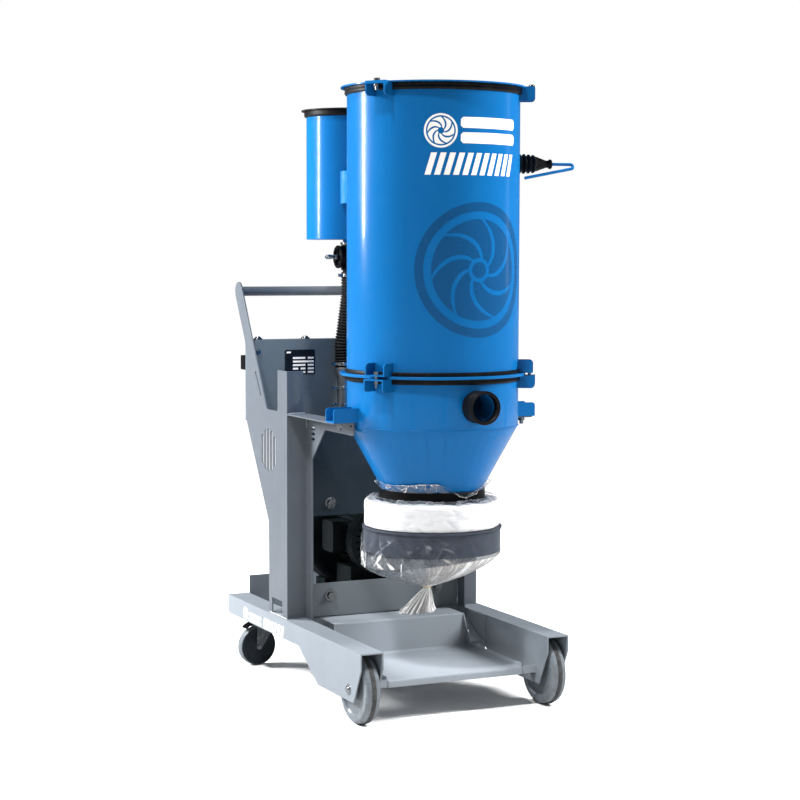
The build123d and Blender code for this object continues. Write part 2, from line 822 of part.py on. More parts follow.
def make_drum_feet():
    """Two channels welded to the drum's sides, which stand on the arms."""
    outer, half_width, high = 325.0, 29.0, 877.0
    with BuildPart() as feet:
        for sign in (-1, 1):
            middle = sign * (225 + outer) / 2
            with BuildSketch(at_z(ARM_TOP)):
                with Locations((middle, DRUM_Y)):
                    Rectangle(outer - 225, 2 * half_width)
            extrude(amount=high - ARM_TOP)
            with BuildSketch(at_z(ARM_TOP + PLATE)):
                with Locations((middle, DRUM_Y)):
                    Rectangle(outer - 205, 2 * (half_width - PLATE))
            extrude(amount=high - ARM_TOP, mode=Mode.SUBTRACT)
        tops = feet.edges().filter_by(Axis.Y).group_by(Axis.Z)[-1]
        fillet([tops.sort_by(Axis.X)[i] for i in (0, 1, -2, -1)], 10)
        with BuildSketch(at_z(ARM_TOP - 1)):
            with Locations((0, DRUM_Y)):
                Circle(DRUM_R)
        extrude(amount=60, mode=Mode.SUBTRACT)
        with BuildSketch(at_z(ARM_TOP)):
            with Locations((-295, DRUM_Y), (295, DRUM_Y)):
                Circle(6.5)
        extrude(amount=PLATE, mode=Mode.SUBTRACT)
    save(feet, "drum_feet")


def make_inlet():
    """Steel inlet stub through the hopper wall, and the ribbed rubber cuff over it."""
    with BuildPart() as stub:
        with BuildSketch(at_y(DRUM_Y - 215)):
            with Locations((INLET_X, INLET_Z)):
                Circle(INLET_BORE + 3)
                Circle(INLET_BORE - 1, mode=Mode.SUBTRACT)
        extrude(amount=505 + DRUM_Y - 215)
    save(stub, "inlet_stub")
    section = Plane(origin=(INLET_X, 0, INLET_Z), x_dir=(1, 0, 0), z_dir=(0, 0, 1))
    with BuildPart() as cuff:
        with BuildSketch(section):
            Polygon(
                (INLET_BORE + 3.1, -474),
                (46, -474),
                (46, -500),
                (44, -502),
                (46, -505),
                (46, -510),
                (44, -512),
                (46, -515),
                (47.5, -520),
                (47.5, -527),
                (45.5, INLET_MOUTH),
                (42, INLET_MOUTH),
                (INLET_BORE, -526),
                (INLET_BORE, -505.4),
                (INLET_BORE + 3.1, -505.4),
                align=None,
            )
        revolve(axis=Axis((INLET_X, 0, INLET_Z), (0, 1, 0)))
    save(cuff, "inlet_cuff")


def make_main_filter():
    """Pleated filter standing on the filter plate, closed by its top cap."""
    pleats, crest, root = 40, 196.0, 172.0
    star = []
    for index in range(pleats):
        for radius, part in ((crest, 0.0), (root, 0.5)):
            angle = 2 * math.pi * (index + part) / pleats
            star.append((radius * math.cos(angle), radius * math.sin(angle)))
    with BuildPart() as cartridge:
        with BuildSketch(Plane(origin=(0, DRUM_Y, RING_HIGH + 12))):
            Polygon(*star, align=None)
            Circle(160, mode=Mode.SUBTRACT)
        extrude(amount=440)
        with BuildSketch(Plane(origin=(0, DRUM_Y, RING_HIGH))):
            Circle(205)
            Circle(165, mode=Mode.SUBTRACT)
        extrude(amount=12)
        with BuildSketch(Plane(origin=(0, DRUM_Y, RING_HIGH + 452))):
            Circle(205)
        extrude(amount=12)
    save(cartridge, "main_filter")


def make_lever():
    """Bent-rod handle of the filter cleaner on a cross pin in the drum wall, and its rubber boot."""
    turn = math.radians(LEVER_TURN)
    along = (math.cos(turn), math.sin(turn), 0)
    frame = Plane(origin=(0, DRUM_Y, LEVER_Z), x_dir=along, z_dir=(0, 0, 1))
    corners = [(222, 0, 0), (LEVER_REACH, 0, 0), (LEVER_REACH - 2, -8, -12), (266, -31, -42)]
    with BuildPart() as lever:
        with BuildLine(frame) as route:
            FilletPolyline(*corners, radius=7)
        with BuildSketch(Plane(origin=route.line @ 0, z_dir=route.line % 0)):
            Circle(LEVER_ROD_R)
        sweep()
        across = Plane(
            origin=frame.from_local_coords((DRUM_R, 0, 0)),
            z_dir=frame.y_dir,
        )
        with BuildSketch(across):
            Circle(LEVER_PIN_R)
        extrude(amount=10, both=True)
    save(lever, "pulse_lever")
    section = Plane(origin=frame.origin, x_dir=along, z_dir=(-along[1], along[0], 0))
    outer = [(250, 24), (252, 31), (255, 31), (258, 20)]
    outer += [(262, 20), (264, 29), (267, 29), (269, 21)]
    outer += [(273, 21), (275, 28), (278, 28), (280, 22)]
    outer += [(284, 22), (287, 31), (290, 31), (292, 23)]
    outer += [(296, 23), (299, 28), (302, 28), (305, 24), (332, 14)]
    outer += [(334, 10), (347, 10), (349, 14.5), (354, 14.5), (355, 11)]
    inner = [(355, 5), (336, 5), (331, 11), (304, 20), (250, 18)]
    with BuildPart() as boot:
        with BuildSketch(section):
            Polygon(*(outer + inner), align=None)
        revolve(axis=Axis(frame.origin, along))
    save(boot, "lever_boot")


# ======== second stage, valve and hose ========

def make_hepa():
    """Second-stage housing, its lid with the centre nut, and the filter inside it."""
    with BuildPart() as shell:
        with BuildSketch(HEPA_SECTION):
            ring_profile([
                (25.5, STUB_LOW),
                (25.5, HEPA_LOW),
                (HEPA_R, HEPA_LOW),
                (HEPA_R, HEPA_HIGH),
                (128, HEPA_HIGH),
                (128, HEPA_HIGH - 3),
                (HEPA_R - THIN, HEPA_HIGH - 3),
                (HEPA_R - THIN, HEPA_LOW + THIN),
                (22.5, HEPA_LOW + THIN),
                (22.5, STUB_LOW),
            ])
        revolve(axis=HEPA_AXIS)
        with BuildSketch(at_y(HEPA_Y - 100)):
            with Locations((0, 1518)):
                Rectangle(150, 80)
        extrude(amount=50, mode=Mode.SUBTRACT)
    save(shell, "hepa_shell")
    low = HEPA_HIGH + 18
    with BuildPart() as lid:
        with BuildSketch(HEPA_SECTION):
            ring_profile([(0, low), (156, low), (156, low + 4), (0, low + 4)])
        revolve(axis=HEPA_AXIS)
        with BuildSketch(Plane(origin=(0, HEPA_Y, low + 4))):
            RegularPolygon(11, 6)
        extrude(amount=7)
    save(lid, "hepa_lid")
    with BuildPart() as element:
        with BuildSketch(HEPA_SECTION):
            ring_profile([(60, 1362), (118, 1362), (118, 1450), (60, 1450)])
        revolve(axis=HEPA_AXIS)
    save(element, "hepa_filter")


def make_clean_duct():
    """Rectangular duct from the drum to the second-stage housing."""
    half, low, high = 85.0, 1468.0, 1568.0
    with BuildPart() as duct:
        with BuildSketch(at_y(HEPA_Y - 60)):
            with Locations((0, (low + high) / 2)):
                Rectangle(2 * half, high - low)
                Rectangle(2 * half - 6, high - low - 6, mode=Mode.SUBTRACT)
        extrude(amount=HEPA_Y - 60 - DRUM_Y - 150)
        with BuildSketch(at_z(low - 1)):
            with Locations((0, DRUM_Y)):
                Circle(DRUM_R)
            with Locations((0, HEPA_Y)):
                Circle(HEPA_R)
        extrude(amount=high - low + 2, mode=Mode.SUBTRACT)
    save(duct, "clean_duct")


def make_valve_body():
    """Vacuum relief tee: barrel, side port with a spoked guide, and the hose spigot."""
    with BuildPart() as body:
        with BuildSketch(HEPA_SECTION):
            ring_profile([
                (26, 1345),
                (31, 1345),
                (31, 1262),
                (26, 1262),
                (26, 1226),
                (22.5, 1226),
                (22.5, 1266),
                (26, 1268),
            ])
        revolve(axis=HEPA_AXIS)
        with BuildSketch(at_x(-40)):
            with Locations((HEPA_Y, VALVE_Z)):
                Circle(33)
        extrude(amount=40)
        with BuildSketch(at_x(-40)):
            with Locations((HEPA_Y, VALVE_Z)):
                Circle(36)
                Circle(27, mode=Mode.SUBTRACT)
        extrude(amount=-6)
        with BuildSketch(at_z(1267)):
            with Locations((0, HEPA_Y)):
                Circle(26)
        extrude(amount=78, mode=Mode.SUBTRACT)
        with BuildSketch(at_x(-36)):
            with Locations((HEPA_Y, VALVE_Z)):
                Circle(29)
        extrude(amount=30, mode=Mode.SUBTRACT)
        with BuildSketch(at_x(-41)):
            with Locations((HEPA_Y, VALVE_Z)):
                Circle(24)
        extrude(amount=10, mode=Mode.SUBTRACT)
        with BuildSketch(at_x(-46)):
            with Locations((HEPA_Y, VALVE_Z)):
                Circle(8)
                with PolarLocations(16, 3, start_angle=90):
                    Rectangle(26, 5)
                Circle(4 + RUN_FIT, mode=Mode.SUBTRACT)
        extrude(amount=5)
    save(body, "valve_body")


def make_valve_poppet():
    """Valve disc with its stem and the two adjusting nuts."""
    with BuildPart() as poppet:
        with BuildSketch(at_x(-35.7)):
            with Locations((HEPA_Y, VALVE_Z)):
                Circle(27)
        extrude(amount=4)
        with BuildSketch(at_x(-88)):
            with Locations((HEPA_Y, VALVE_Z)):
                Circle(4)
        extrude(amount=52.3)
        with BuildSketch(at_x(-83)):
            with Locations((HEPA_Y, VALVE_Z)):
                RegularPolygon(8.5, 6)
        extrude(amount=5)
        with BuildSketch(at_x(-77)):
            with Locations((HEPA_Y, VALVE_Z)):
                RegularPolygon(8.5, 6)
        extrude(amount=6)
    save(poppet, "valve_poppet")


def make_valve_spring():
    """Compression spring on the stem, drawn as the sleeve that its coil fills."""
    section = Plane(origin=(0, HEPA_Y, VALVE_Z), x_dir=(1, 0, 0), z_dir=(0, 0, 1))
    outline = [(-70.8, 4.4)]
    for turn in range(6):
        start = -70.8 + turn * 4.05
        outline += [(start + 0.3, 6.6), (start + 2.0, 7.4), (start + 3.7, 6.6)]
    outline += [(-46.4, 4.4)]
    with BuildPart() as spring:
        with BuildSketch(section):
            Polygon(*outline, align=None)
        revolve(axis=Axis((0, HEPA_Y, VALVE_Z), (1, 0, 0)))
    save(spring, "valve_spring")


def hose_points():
    """Route of the hose: straight off the tee, a slight offset, straight onto the pipe."""
    return [
        (0, HEPA_Y, HOSE_TOP),
        (0, HEPA_Y, 1185),
        (PIPE_X, HEPA_Y, 1030),
        (PIPE_X, HEPA_Y, HOSE_END),
    ]


def make_hose():
    """Suction hose between the tee and the pipe, as a plain tube of its outer size."""
    with BuildPart() as hose:
        with BuildLine() as route:
            FilletPolyline(*hose_points(), radius=200)
        with BuildSketch(Plane(origin=route.line @ 0, z_dir=route.line % 0)):
            Circle(HOSE_R)
            Circle(HOSE_BORE, mode=Mode.SUBTRACT)
        sweep()
    save(hose, "hose")


def make_suction_pipe():
    """Steel pipe down to the blower, with the cone and spigot that take the hose."""
    section = Plane(origin=(PIPE_X, HEPA_Y, 0), x_dir=(1, 0, 0), z_dir=(0, -1, 0))
    with BuildPart() as pipe:
        with BuildSketch(section):
            ring_profile([
                (PIPE_R, 606),
                (PIPE_R, 918),
                (HOSE_R, 948),
                (HOSE_R, HOSE_END - 0.3),
                (HOSE_BORE - 0.1, HOSE_END - 0.3),
                (HOSE_BORE - 0.1, 990),
                (22, 990),
                (22, 606),
            ])
        revolve(axis=Axis((PIPE_X, HEPA_Y, 0), (0, 0, 1)))
    save(pipe, "suction_pipe")


def make_hose_clamps():
    """Band clamps on the tee and hose ends, and two saddles that hold the pipe."""
    with BuildPart() as clamps:
        bands = (
            (0, 1342, 31, 33, 8),
            (0, 1241, HOSE_R, HOSE_R + 1.4, 10),
            (PIPE_X, 962, HOSE_R, HOSE_R + 1.4, 10),
            (PIPE_X, 886, PIPE_R, PIPE_R + 1.6, 9),
            (PIPE_X, 834, PIPE_R, PIPE_R + 1.6, 9),
        )
        for x, low, inner, outer, height in bands:
            with BuildSketch(Plane(origin=(x, HEPA_Y, low))):
                Circle(outer)
                Circle(inner + 0.1, mode=Mode.SUBTRACT)
            extrude(amount=height)
        for low in (886, 834):
            with BuildSketch(Plane(origin=(PIPE_X - PIPE_R - 9, HEPA_Y, low))):
                Rectangle(17, 9)
            extrude(amount=9)
        for x, low in ((0, 1241), (PIPE_X, 962)):
            with BuildSketch(Plane(origin=(x - HOSE_R - 5, HEPA_Y, low))):
                Rectangle(9, 12)
            extrude(amount=10)
    save(clamps, "hose_clamps")


# ======== electrical cabinet ========

def make_cabinet():
    """Cabinet between the side plates: front wall, top, floor and ends, open to the rear."""
    depth = CABINET_REAR - CABINET_FRONT
    height = CABINET_TOP - CABINET_LOW
    middle = (CABINET_TOP + CABINET_LOW) / 2
    with BuildPart() as cabinet:
        with BuildSketch(at_y(CABINET_REAR)):
            with Locations((0, middle)):
                Rectangle(2 * CABINET_HALF, height)
        extrude(amount=depth)
        with BuildSketch(at_y(CABINET_REAR)):
            with Locations((0, middle)):
                Rectangle(2 * (CABINET_HALF - THIN), height - 2 * THIN)
        extrude(amount=depth - THIN, mode=Mode.SUBTRACT)
    save(cabinet, "cabinet_shell")


def make_door():
    """Rear door: a shallow pan with its hinge knuckles and the holes for its fittings."""
    half = CABINET_HALF - 1
    low, high = CABINET_LOW - 2, CABINET_TOP - 4
    depth = DOOR_REAR - CABINET_REAR - 1.5
    middle = (low + high) / 2
    with BuildPart() as door:
        with BuildSketch(at_y(DOOR_REAR)):
            with Locations((0, middle)):
                Rectangle(2 * half, high - low)
        extrude(amount=depth)
        with BuildSketch(at_y(DOOR_REAR - THIN)):
            with Locations((0, middle)):
                Rectangle(2 * (half - THIN), high - low - 2 * THIN)
        extrude(amount=depth, mode=Mode.SUBTRACT)
        for height in (845, 985):
            with BuildSketch(at_z(height - 10)):
                with Locations((HINGE_X, HINGE_Y)):
                    Circle(4.5)
                with Locations((HINGE_X - 8, DOOR_REAR + 1.5)):
                    Rectangle(16, 3)
                with Locations((HINGE_X, HINGE_Y)):
                    Circle(2 + RUN_FIT, mode=Mode.SUBTRACT)
            extrude(amount=20)
        with BuildSketch(at_y(DOOR_REAR)):
            with Locations((LATCH_X, LATCH_Z)):
                Circle(5 + RUN_FIT)
            with Locations((SWITCH_X, SWITCH_Z)):
                Circle(4 + RUN_FIT)
        extrude(amount=THIN, mode=Mode.SUBTRACT)
    save(door, "cabinet_door")


def make_door_hinges():
    """Fixed leaves with their outer knuckles and the pins that the door turns on."""
    with BuildPart() as hinges:
        for height in (845, 985):
            with BuildSketch(at_z(height - 25)):
                with Locations((HINGE_X, HINGE_Y)):
                    Circle(2)
            extrude(amount=50)
            for low in (height - 25, height + 10.4):
                with BuildSketch(at_z(low)):
                    with Locations((HINGE_X, HINGE_Y)):
                        Circle(4.5)
                    with Locations((HINGE_X + 0.1, HINGE_Y - 20)):
                        Rectangle(1.8, 40)
                extrude(amount=14.6)
            with BuildSketch(at_z(height - 25)):
                with Locations((HINGE_X - 1.4, HINGE_Y - 60)):
                    Rectangle(1.2, 44)
                with Locations((HINGE_X - 0.5, HINGE_Y - 39)):
                    Rectangle(3, 3)
            extrude(amount=50)
    save(hinges, "door_hinges")


def make_door_latch():
    """Quarter-turn latch: block handle, shaft through the door and the tongue inside."""
    with BuildPart() as latch:
        with BuildSketch(at_y(DOOR_REAR + 41)) as grip:
            with Locations((LATCH_X, LATCH_Z)):
                RectangleRounded(21, 46, 4)
        extrude(amount=36)
        with BuildSketch(at_y(DOOR_REAR + 5)):
            with Locations((LATCH_X, LATCH_Z)):
                Circle(10)
        extrude(amount=4.6)
        with BuildSketch(at_y(DOOR_REAR + 0.5)):
            with Locations((LATCH_X, LATCH_Z)):
                Circle(5)
        extrude(amount=22)
        with BuildSketch(at_y(DOOR_REAR - 17)):
            with Locations((LATCH_X + 4, LATCH_Z)):
                Rectangle(14, 10)
        extrude(amount=4)
    save(latch, "door_latch")


def make_main_switch():
    """Rotary main switch: round base, grip bar and shaft through the door."""
    with BuildPart() as switch:
        with BuildSketch(at_y(DOOR_REAR + 12)):
            with Locations((SWITCH_X, SWITCH_Z)):
                Circle(24)
        extrude(amount=11.6)
        with BuildSketch(at_y(DOOR_REAR + 28)):
            with Locations((SWITCH_X, SWITCH_Z)):
                SlotOverall(44, 13, rotation=90)
        extrude(amount=16)
        with BuildSketch(at_y(DOOR_REAR + 0.4)):
            with Locations((SWITCH_X, SWITCH_Z)):
                Circle(4)
        extrude(amount=16)
    save(switch, "main_switch")


def make_data_plate():
    """Rating plate riveted to the cabinet's front wall."""
    with BuildPart() as plate:
        with BuildSketch(at_y(CABINET_FRONT)):
            with Locations((-160.5, 973.5)):
                RectangleRounded(101, 77, 3)
        extrude(amount=1.2)
    save(plate, "data_plate")


# ======== blower ========

def make_blower():
    """Blower housing on its foot, with the suction collar, outlet stub and rotor space."""
    front, rear = BLOWER_Y - 54, BLOWER_Y + 54
    with BuildPart() as housing:
        with BuildSketch(at_y(rear)):
            with Locations((0, BLOWER_Z)):
                Circle(BLOWER_R)
        extrude(amount=rear - front)
        rims = housing.edges().filter_by(GeomType.CIRCLE)
        fillet(rims, 22)
        with BuildSketch(at_z(DECK_LOW + PLATE)):
            with Locations((0, BLOWER_Y)):
                Rectangle(210, 70)
        extrude(amount=130)
        with BuildSketch(at_z(570)):
            with Locations((PIPE_X, BLOWER_Y)):
                Circle(31)
        extrude(amount=66)
        with BuildSketch(at_y(rear + 36)):
            with Locations((88, 500)):
                Circle(27)
        extrude(amount=60)
        with BuildSketch(at_y(rear - 14)):
            with Locations((0, BLOWER_Z)):
                Circle(150)
        extrude(amount=rear - front - 28, mode=Mode.SUBTRACT)
        with BuildSketch(at_z(560)):
            with Locations((PIPE_X, BLOWER_Y)):
                Circle(PIPE_R + 0.05)
        extrude(amount=80, mode=Mode.SUBTRACT)
        with BuildSketch(at_y(rear + 40)):
            with Locations((88, 500)):
                Circle(22)
        extrude(amount=60, mode=Mode.SUBTRACT)
        with BuildSketch(at_y(front + 20)):
            with Locations((0, BLOWER_Z)):
                Circle(12 + RUN_FIT)
        extrude(amount=30, mode=Mode.SUBTRACT)
    save(housing, "blower_housing")


def make_motor():
    """Motor in front of the blower: finned barrel, fan cover and foot."""
    rear, front = BLOWER_Y - 54, 128.0
    with BuildPart() as motor:
        with BuildSketch(at_y(rear)):
            with Locations((0, BLOWER_Z)):
                Circle(MOTOR_R - 10)
        extrude(amount=rear - front)
        with BuildSketch(at_y(rear - 12)):
            with Locations((0, BLOWER_Z)):
                with PolarLocations(MOTOR_R - 8, 36):
                    Rectangle(12, 4)
        extrude(amount=rear - 60 - front)
        with BuildSketch(at_y(front + 46)):
            with Locations((0, BLOWER_Z)):
                Circle(MOTOR_R + 2)
        extrude(amount=46)
        with BuildSketch(at_z(DECK_LOW + PLATE)):
            with Locations((0, 225)):
                Rectangle(170, 110)
        extrude(amount=190)
        with BuildSketch(at_x(-MOTOR_R - 34)):
            with Locations((238, BLOWER_Z + 10)):
                RectangleRounded(84, 96, 14)
        extrude(amount=60)
        with BuildSketch(at_y(rear)):
            with Locations((0, BLOWER_Z)):
                Circle(12 + RUN_FIT)
        extrude(amount=110, mode=Mode.SUBTRACT)
        with BuildSketch(at_y(front + 8)):
            with Locations((0, BLOWER_Z)):
                for radius, count in ((34, 10), (58, 18), (80, 26)):
                    with PolarLocations(radius, count):
                        Rectangle(14, 6)
        extrude(amount=8, mode=Mode.SUBTRACT)
    save(motor, "motor_body")


def make_rotor():
    """Impeller with its blades on the motor's shaft."""
    with BuildPart() as rotor:
        with BuildSketch(at_y(BLOWER_Y + 6)):
            with Locations((0, BLOWER_Z)):
                Circle(140)
        extrude(amount=8)
        with BuildSketch(at_y(BLOWER_Y + 30)):
            with Locations((0, BLOWER_Z)):
                with PolarLocations(100, 24):
                    Rectangle(70, 3)
                Circle(26)
        extrude(amount=24)
        with BuildSketch(at_y(BLOWER_Y + 30)):
            with Locations((0, BLOWER_Z)):
                Circle(12)
        extrude(amount=185)
    save(rotor, "rotor")


# ======== bag ========

def make_bag_pieces():
    """Neck strap, folded bag pack, its cassette ring, and the bag with its tie."""
    with BuildPart() as band:
        with BuildSketch(DRUM_SECTION):
            ring_profile([(NECK_R, 603), (154, 603), (154, 637), (NECK_R, 637)])
        revolve(axis=DRUM_AXIS)
    save(band, "neck_band")
    with BuildPart() as pack:
        with BuildSketch(DRUM_SECTION):
            ring_profile([
                (157, LIP_Z + 6.3),
                (PACK_R - 4, LIP_Z + 6.3),
                (PACK_R, LIP_Z + 14),
                (PACK_R, 598),
                (PACK_R - 8, 606),
                (163, 606),
                (157, 600),
            ])
        revolve(axis=DRUM_AXIS)
    save(pack, "bag_pack")
    with BuildPart() as cassette:
        with BuildSketch(DRUM_SECTION):
            ring_profile([
                (PACK_R, CASSETTE_LOW),
                (PACK_R, LIP_Z),
                (PACK_R + 4, LIP_Z),
                (PACK_R + 4, LIP_Z + 6),
                (152, LIP_Z + 6),
                (152, LIP_Z + 3),
                (PACK_R - 3, LIP_Z + 3),
                (PACK_R - 3, CASSETTE_LOW),
            ])
        revolve(axis=DRUM_AXIS)
    save(cassette, "cassette_ring")
    knot = Plane(origin=(KNOT_X, DRUM_Y, KNOT_Z))
    with BuildPart() as film:
        with BuildSketch(Plane(origin=(0, DRUM_Y, 413))):
            Circle(196)
        with BuildSketch(knot):
            Circle(11)
        loft()
        with BuildSketch(Plane(origin=(0, DRUM_Y, 413))):
            Circle(202.5)
        extrude(amount=LIP_Z - 1 - 413)
        with BuildSketch(Plane(origin=(0, DRUM_Y, 416))):
            Circle(200.3)
        extrude(amount=LIP_Z - 413, mode=Mode.SUBTRACT)
        with BuildSketch(Plane(origin=(0, DRUM_Y, 416.5))):
            Circle(189)
        with BuildSketch(knot.offset(14)):
            Circle(9)
        loft(mode=Mode.SUBTRACT)
        with BuildSketch(knot):
            Circle(11)
        with BuildSketch(Plane(origin=(KNOT_X - 14, DRUM_Y, TAIL_LOW))):
            Ellipse(52, 17)
        loft()
    save(film, "bag_film")
    with BuildPart() as tie:
        with BuildSketch(knot.offset(-4)):
            Circle(14)
            Circle(11.4, mode=Mode.SUBTRACT)
        extrude(amount=7)
    save(tie, "bag_tie")


for side_name, side_sign in SIDES:
    make_rail(side_name, side_sign)
    make_upright(side_name, side_sign)
    make_arm(side_name, side_sign)
    make_front_wheel(side_name, side_sign)
    make_caster_fork(side_name, side_sign)
    make_caster_wheel(side_name, side_sign)
    make_caster_brake(side_name, side_sign)
make_tray()
make_tray_brackets()
make_deck()
make_front_panel()
make_frame_bolts()
make_handle()
make_axle_bolts()
make_caster_plates()
make_hopper()
make_drum_shell()
make_drum_lid()
make_filter_plate()
make_gaskets()
make_clamp_brackets()
make_drum_bolts()
make_drum_feet()
make_inlet()
make_main_filter()
make_lever()
make_hepa()
make_clean_duct()
make_valve_body()
make_valve_poppet()
make_valve_spring()
make_hose()
make_suction_pipe()
make_hose_clamps()
make_cabinet()
make_door()
make_door_hinges()
make_door_latch()
make_main_switch()
make_data_plate()
make_blower()
make_motor()
make_rotor()
make_bag_pieces()
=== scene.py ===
import math

import bpy
from mathutils import Matrix, Vector, noise


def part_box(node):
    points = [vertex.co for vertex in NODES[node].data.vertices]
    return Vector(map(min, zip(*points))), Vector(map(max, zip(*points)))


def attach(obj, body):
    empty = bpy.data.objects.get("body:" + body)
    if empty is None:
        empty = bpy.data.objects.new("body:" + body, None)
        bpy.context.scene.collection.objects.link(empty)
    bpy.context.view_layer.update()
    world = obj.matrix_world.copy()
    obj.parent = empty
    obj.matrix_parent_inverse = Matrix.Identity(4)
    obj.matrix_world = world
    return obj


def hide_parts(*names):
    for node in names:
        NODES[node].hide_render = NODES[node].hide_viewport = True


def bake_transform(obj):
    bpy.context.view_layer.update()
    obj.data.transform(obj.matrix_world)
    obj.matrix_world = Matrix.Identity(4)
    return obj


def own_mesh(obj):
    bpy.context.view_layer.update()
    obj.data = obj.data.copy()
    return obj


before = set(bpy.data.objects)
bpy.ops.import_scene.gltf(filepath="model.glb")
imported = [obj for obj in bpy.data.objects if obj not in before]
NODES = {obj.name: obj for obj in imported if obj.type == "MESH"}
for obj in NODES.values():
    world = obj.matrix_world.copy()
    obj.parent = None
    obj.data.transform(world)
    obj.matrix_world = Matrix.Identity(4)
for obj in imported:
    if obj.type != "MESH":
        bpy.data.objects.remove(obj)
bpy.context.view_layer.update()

# The machine is described about the cart's centre plane, in millimetres, with the
# inlet side facing -Y and the floor at z = 0. place() turns that into the row's metres.
LEFT_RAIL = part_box("left_rail")
RIGHT_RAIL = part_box("right_rail")
RAIL_FRONT = -450.0
CENTRE_X = (LEFT_RAIL[0].x + RIGHT_RAIL[1].x) / 2
CENTRE_Y = LEFT_RAIL[0].y - RAIL_FRONT / 1000


def place(x, y, z):
    """A point of the cart's frame, in millimetres, as a point of the row in metres."""
    return Vector((CENTRE_X + x / 1000, CENTRE_Y + y / 1000, z / 1000))


# Driving sizes, as in the CAD model.
DRUM_Y = -221.5
DRUM_R = 249.0
NECK_R = 150.0
LIP_Z = 521.0
CASSETTE_LOW = 455.0
KNOT = (-14.0, DRUM_Y, 346.0)
HEPA_Y = 364.0
PIPE_X = -22.0
VALVE_Z = 1304.0
LEVER_TURN = math.radians(-12)
LEVER_Z = 1576.0
RAIL_TOP = 214.0
SIDE_X = 321.0
UPRIGHT_FRONT = 109.4
ARM_INNER = 259.6
EYE_Y = 517.5
EYE_Z = 1194.3
SHELF_TOP = 836.6
RAIL_WEB = 330.0
CONE_TOP = 822.0
NECK_TOP = 641.0
SEAM_AT = math.radians(28)
FLANGE_TOP = 1762.0
BOOT_FOOT = 250.0
BOOT_NECK = 345.0

# The bag's film in millimetres, its flat width in metres, and the middles of the drum's markings.
HANG_R = 200.5
STRAP_TOP = 636.0
STOCK_TOP = 606.5
EMBLEM_AT, EMBLEM_Z = math.radians(-85), 1270.0
MARKING_AT, MARKING_Z = math.radians(-86), 1605.0


# ======== materials ========

class Shader:
    """A Principled material, with short ways to add the nodes that feed it."""

    def __init__(self, name, **sockets):
        self.material = bpy.data.materials.new(name)
        self.material.use_nodes = True
        self.tree = self.material.node_tree
        self.main = self.tree.nodes["Principled BSDF"]
        for key, value in sockets.items():
            self.main.inputs[key.replace("_", " ")].default_value = value

    def add(self, kind):
        return self.tree.nodes.new(kind)

    def link(self, source, target):
        self.tree.links.new(source, target)

    def noise(self, scale, detail=4.0, stretch=(1, 1, 1), distortion=0.0):
        """Noise in the row's metres, stretched along an axis where asked."""
        where = self.add("ShaderNodeTexCoord")
        turn = self.add("ShaderNodeMapping")
        turn.inputs["Scale"].default_value = stretch
        cloud = self.add("ShaderNodeTexNoise")
        cloud.inputs["Scale"].default_value = scale
        cloud.inputs["Detail"].default_value = detail
        cloud.inputs["Distortion"].default_value = distortion
        self.link(where.outputs["Object"], turn.inputs["Vector"])
        self.link(turn.outputs["Vector"], cloud.inputs["Vector"])
        return cloud.outputs["Fac"]

    def ramp(self, source, *stops):
        """A colour ramp over (position, colour) stops."""
        ramp = self.add("ShaderNodeValToRGB")
        points = ramp.color_ramp.elements
        while len(points) < len(stops):
            points.new(0.5)
        for point, (position, colour) in zip(points, stops):
            point.position = position
            point.color = (*colour, 1.0)
        self.link(source, ramp.inputs["Fac"])
        return ramp.outputs["Color"]

    def span(self, source, low, high, from_low=0.3, from_high=0.7):
        """Maps noise onto a range of values."""
        span = self.add("ShaderNodeMapRange")
        span.inputs["From Min"].default_value = from_low
        span.inputs["From Max"].default_value = from_high
        span.inputs["To Min"].default_value = low
        span.inputs["To Max"].default_value = high
        self.link(source, span.inputs["Value"])
        return span.outputs["Result"]

    def mix(self, amount, first, second):
        """Mixes two colours, each a socket or a plain colour."""
        mix = self.add("ShaderNodeMix")
        mix.data_type = "RGBA"
        self.link(amount, mix.inputs["Factor"])
        for socket, colour in ((mix.inputs["A"], first), (mix.inputs["B"], second)):
            if isinstance(colour, tuple):
                socket.default_value = (*colour, 1.0)
            else:
                self.link(colour, socket)
        return mix.outputs["Result"]

    def height(self, first, second, balance):
        """Two height fields, mixed with a balance."""
        mix = self.add("ShaderNodeMix")
        mix.inputs["Factor"].default_value = balance
        self.link(first, mix.inputs["A"])
        self.link(second, mix.inputs["B"])
        return mix.outputs["Result"]

    def bump(self, height, strength, distance):
        """Surface relief from a height field, its depth in metres."""
        bump = self.add("ShaderNodeBump")
        bump.inputs["Strength"].default_value = strength
        bump.inputs["Distance"].default_value = distance
        self.link(height, bump.inputs["Height"])
        self.link(bump.outputs["Normal"], self.main.inputs["Normal"])

    def colour(self, source):
        self.link(source, self.main.inputs["Base Color"])

    def rough(self, source):
        self.link(source, self.main.inputs["Roughness"])


def scaled(colour, factor):
    return tuple(min(1.0, c * factor) for c in colour)


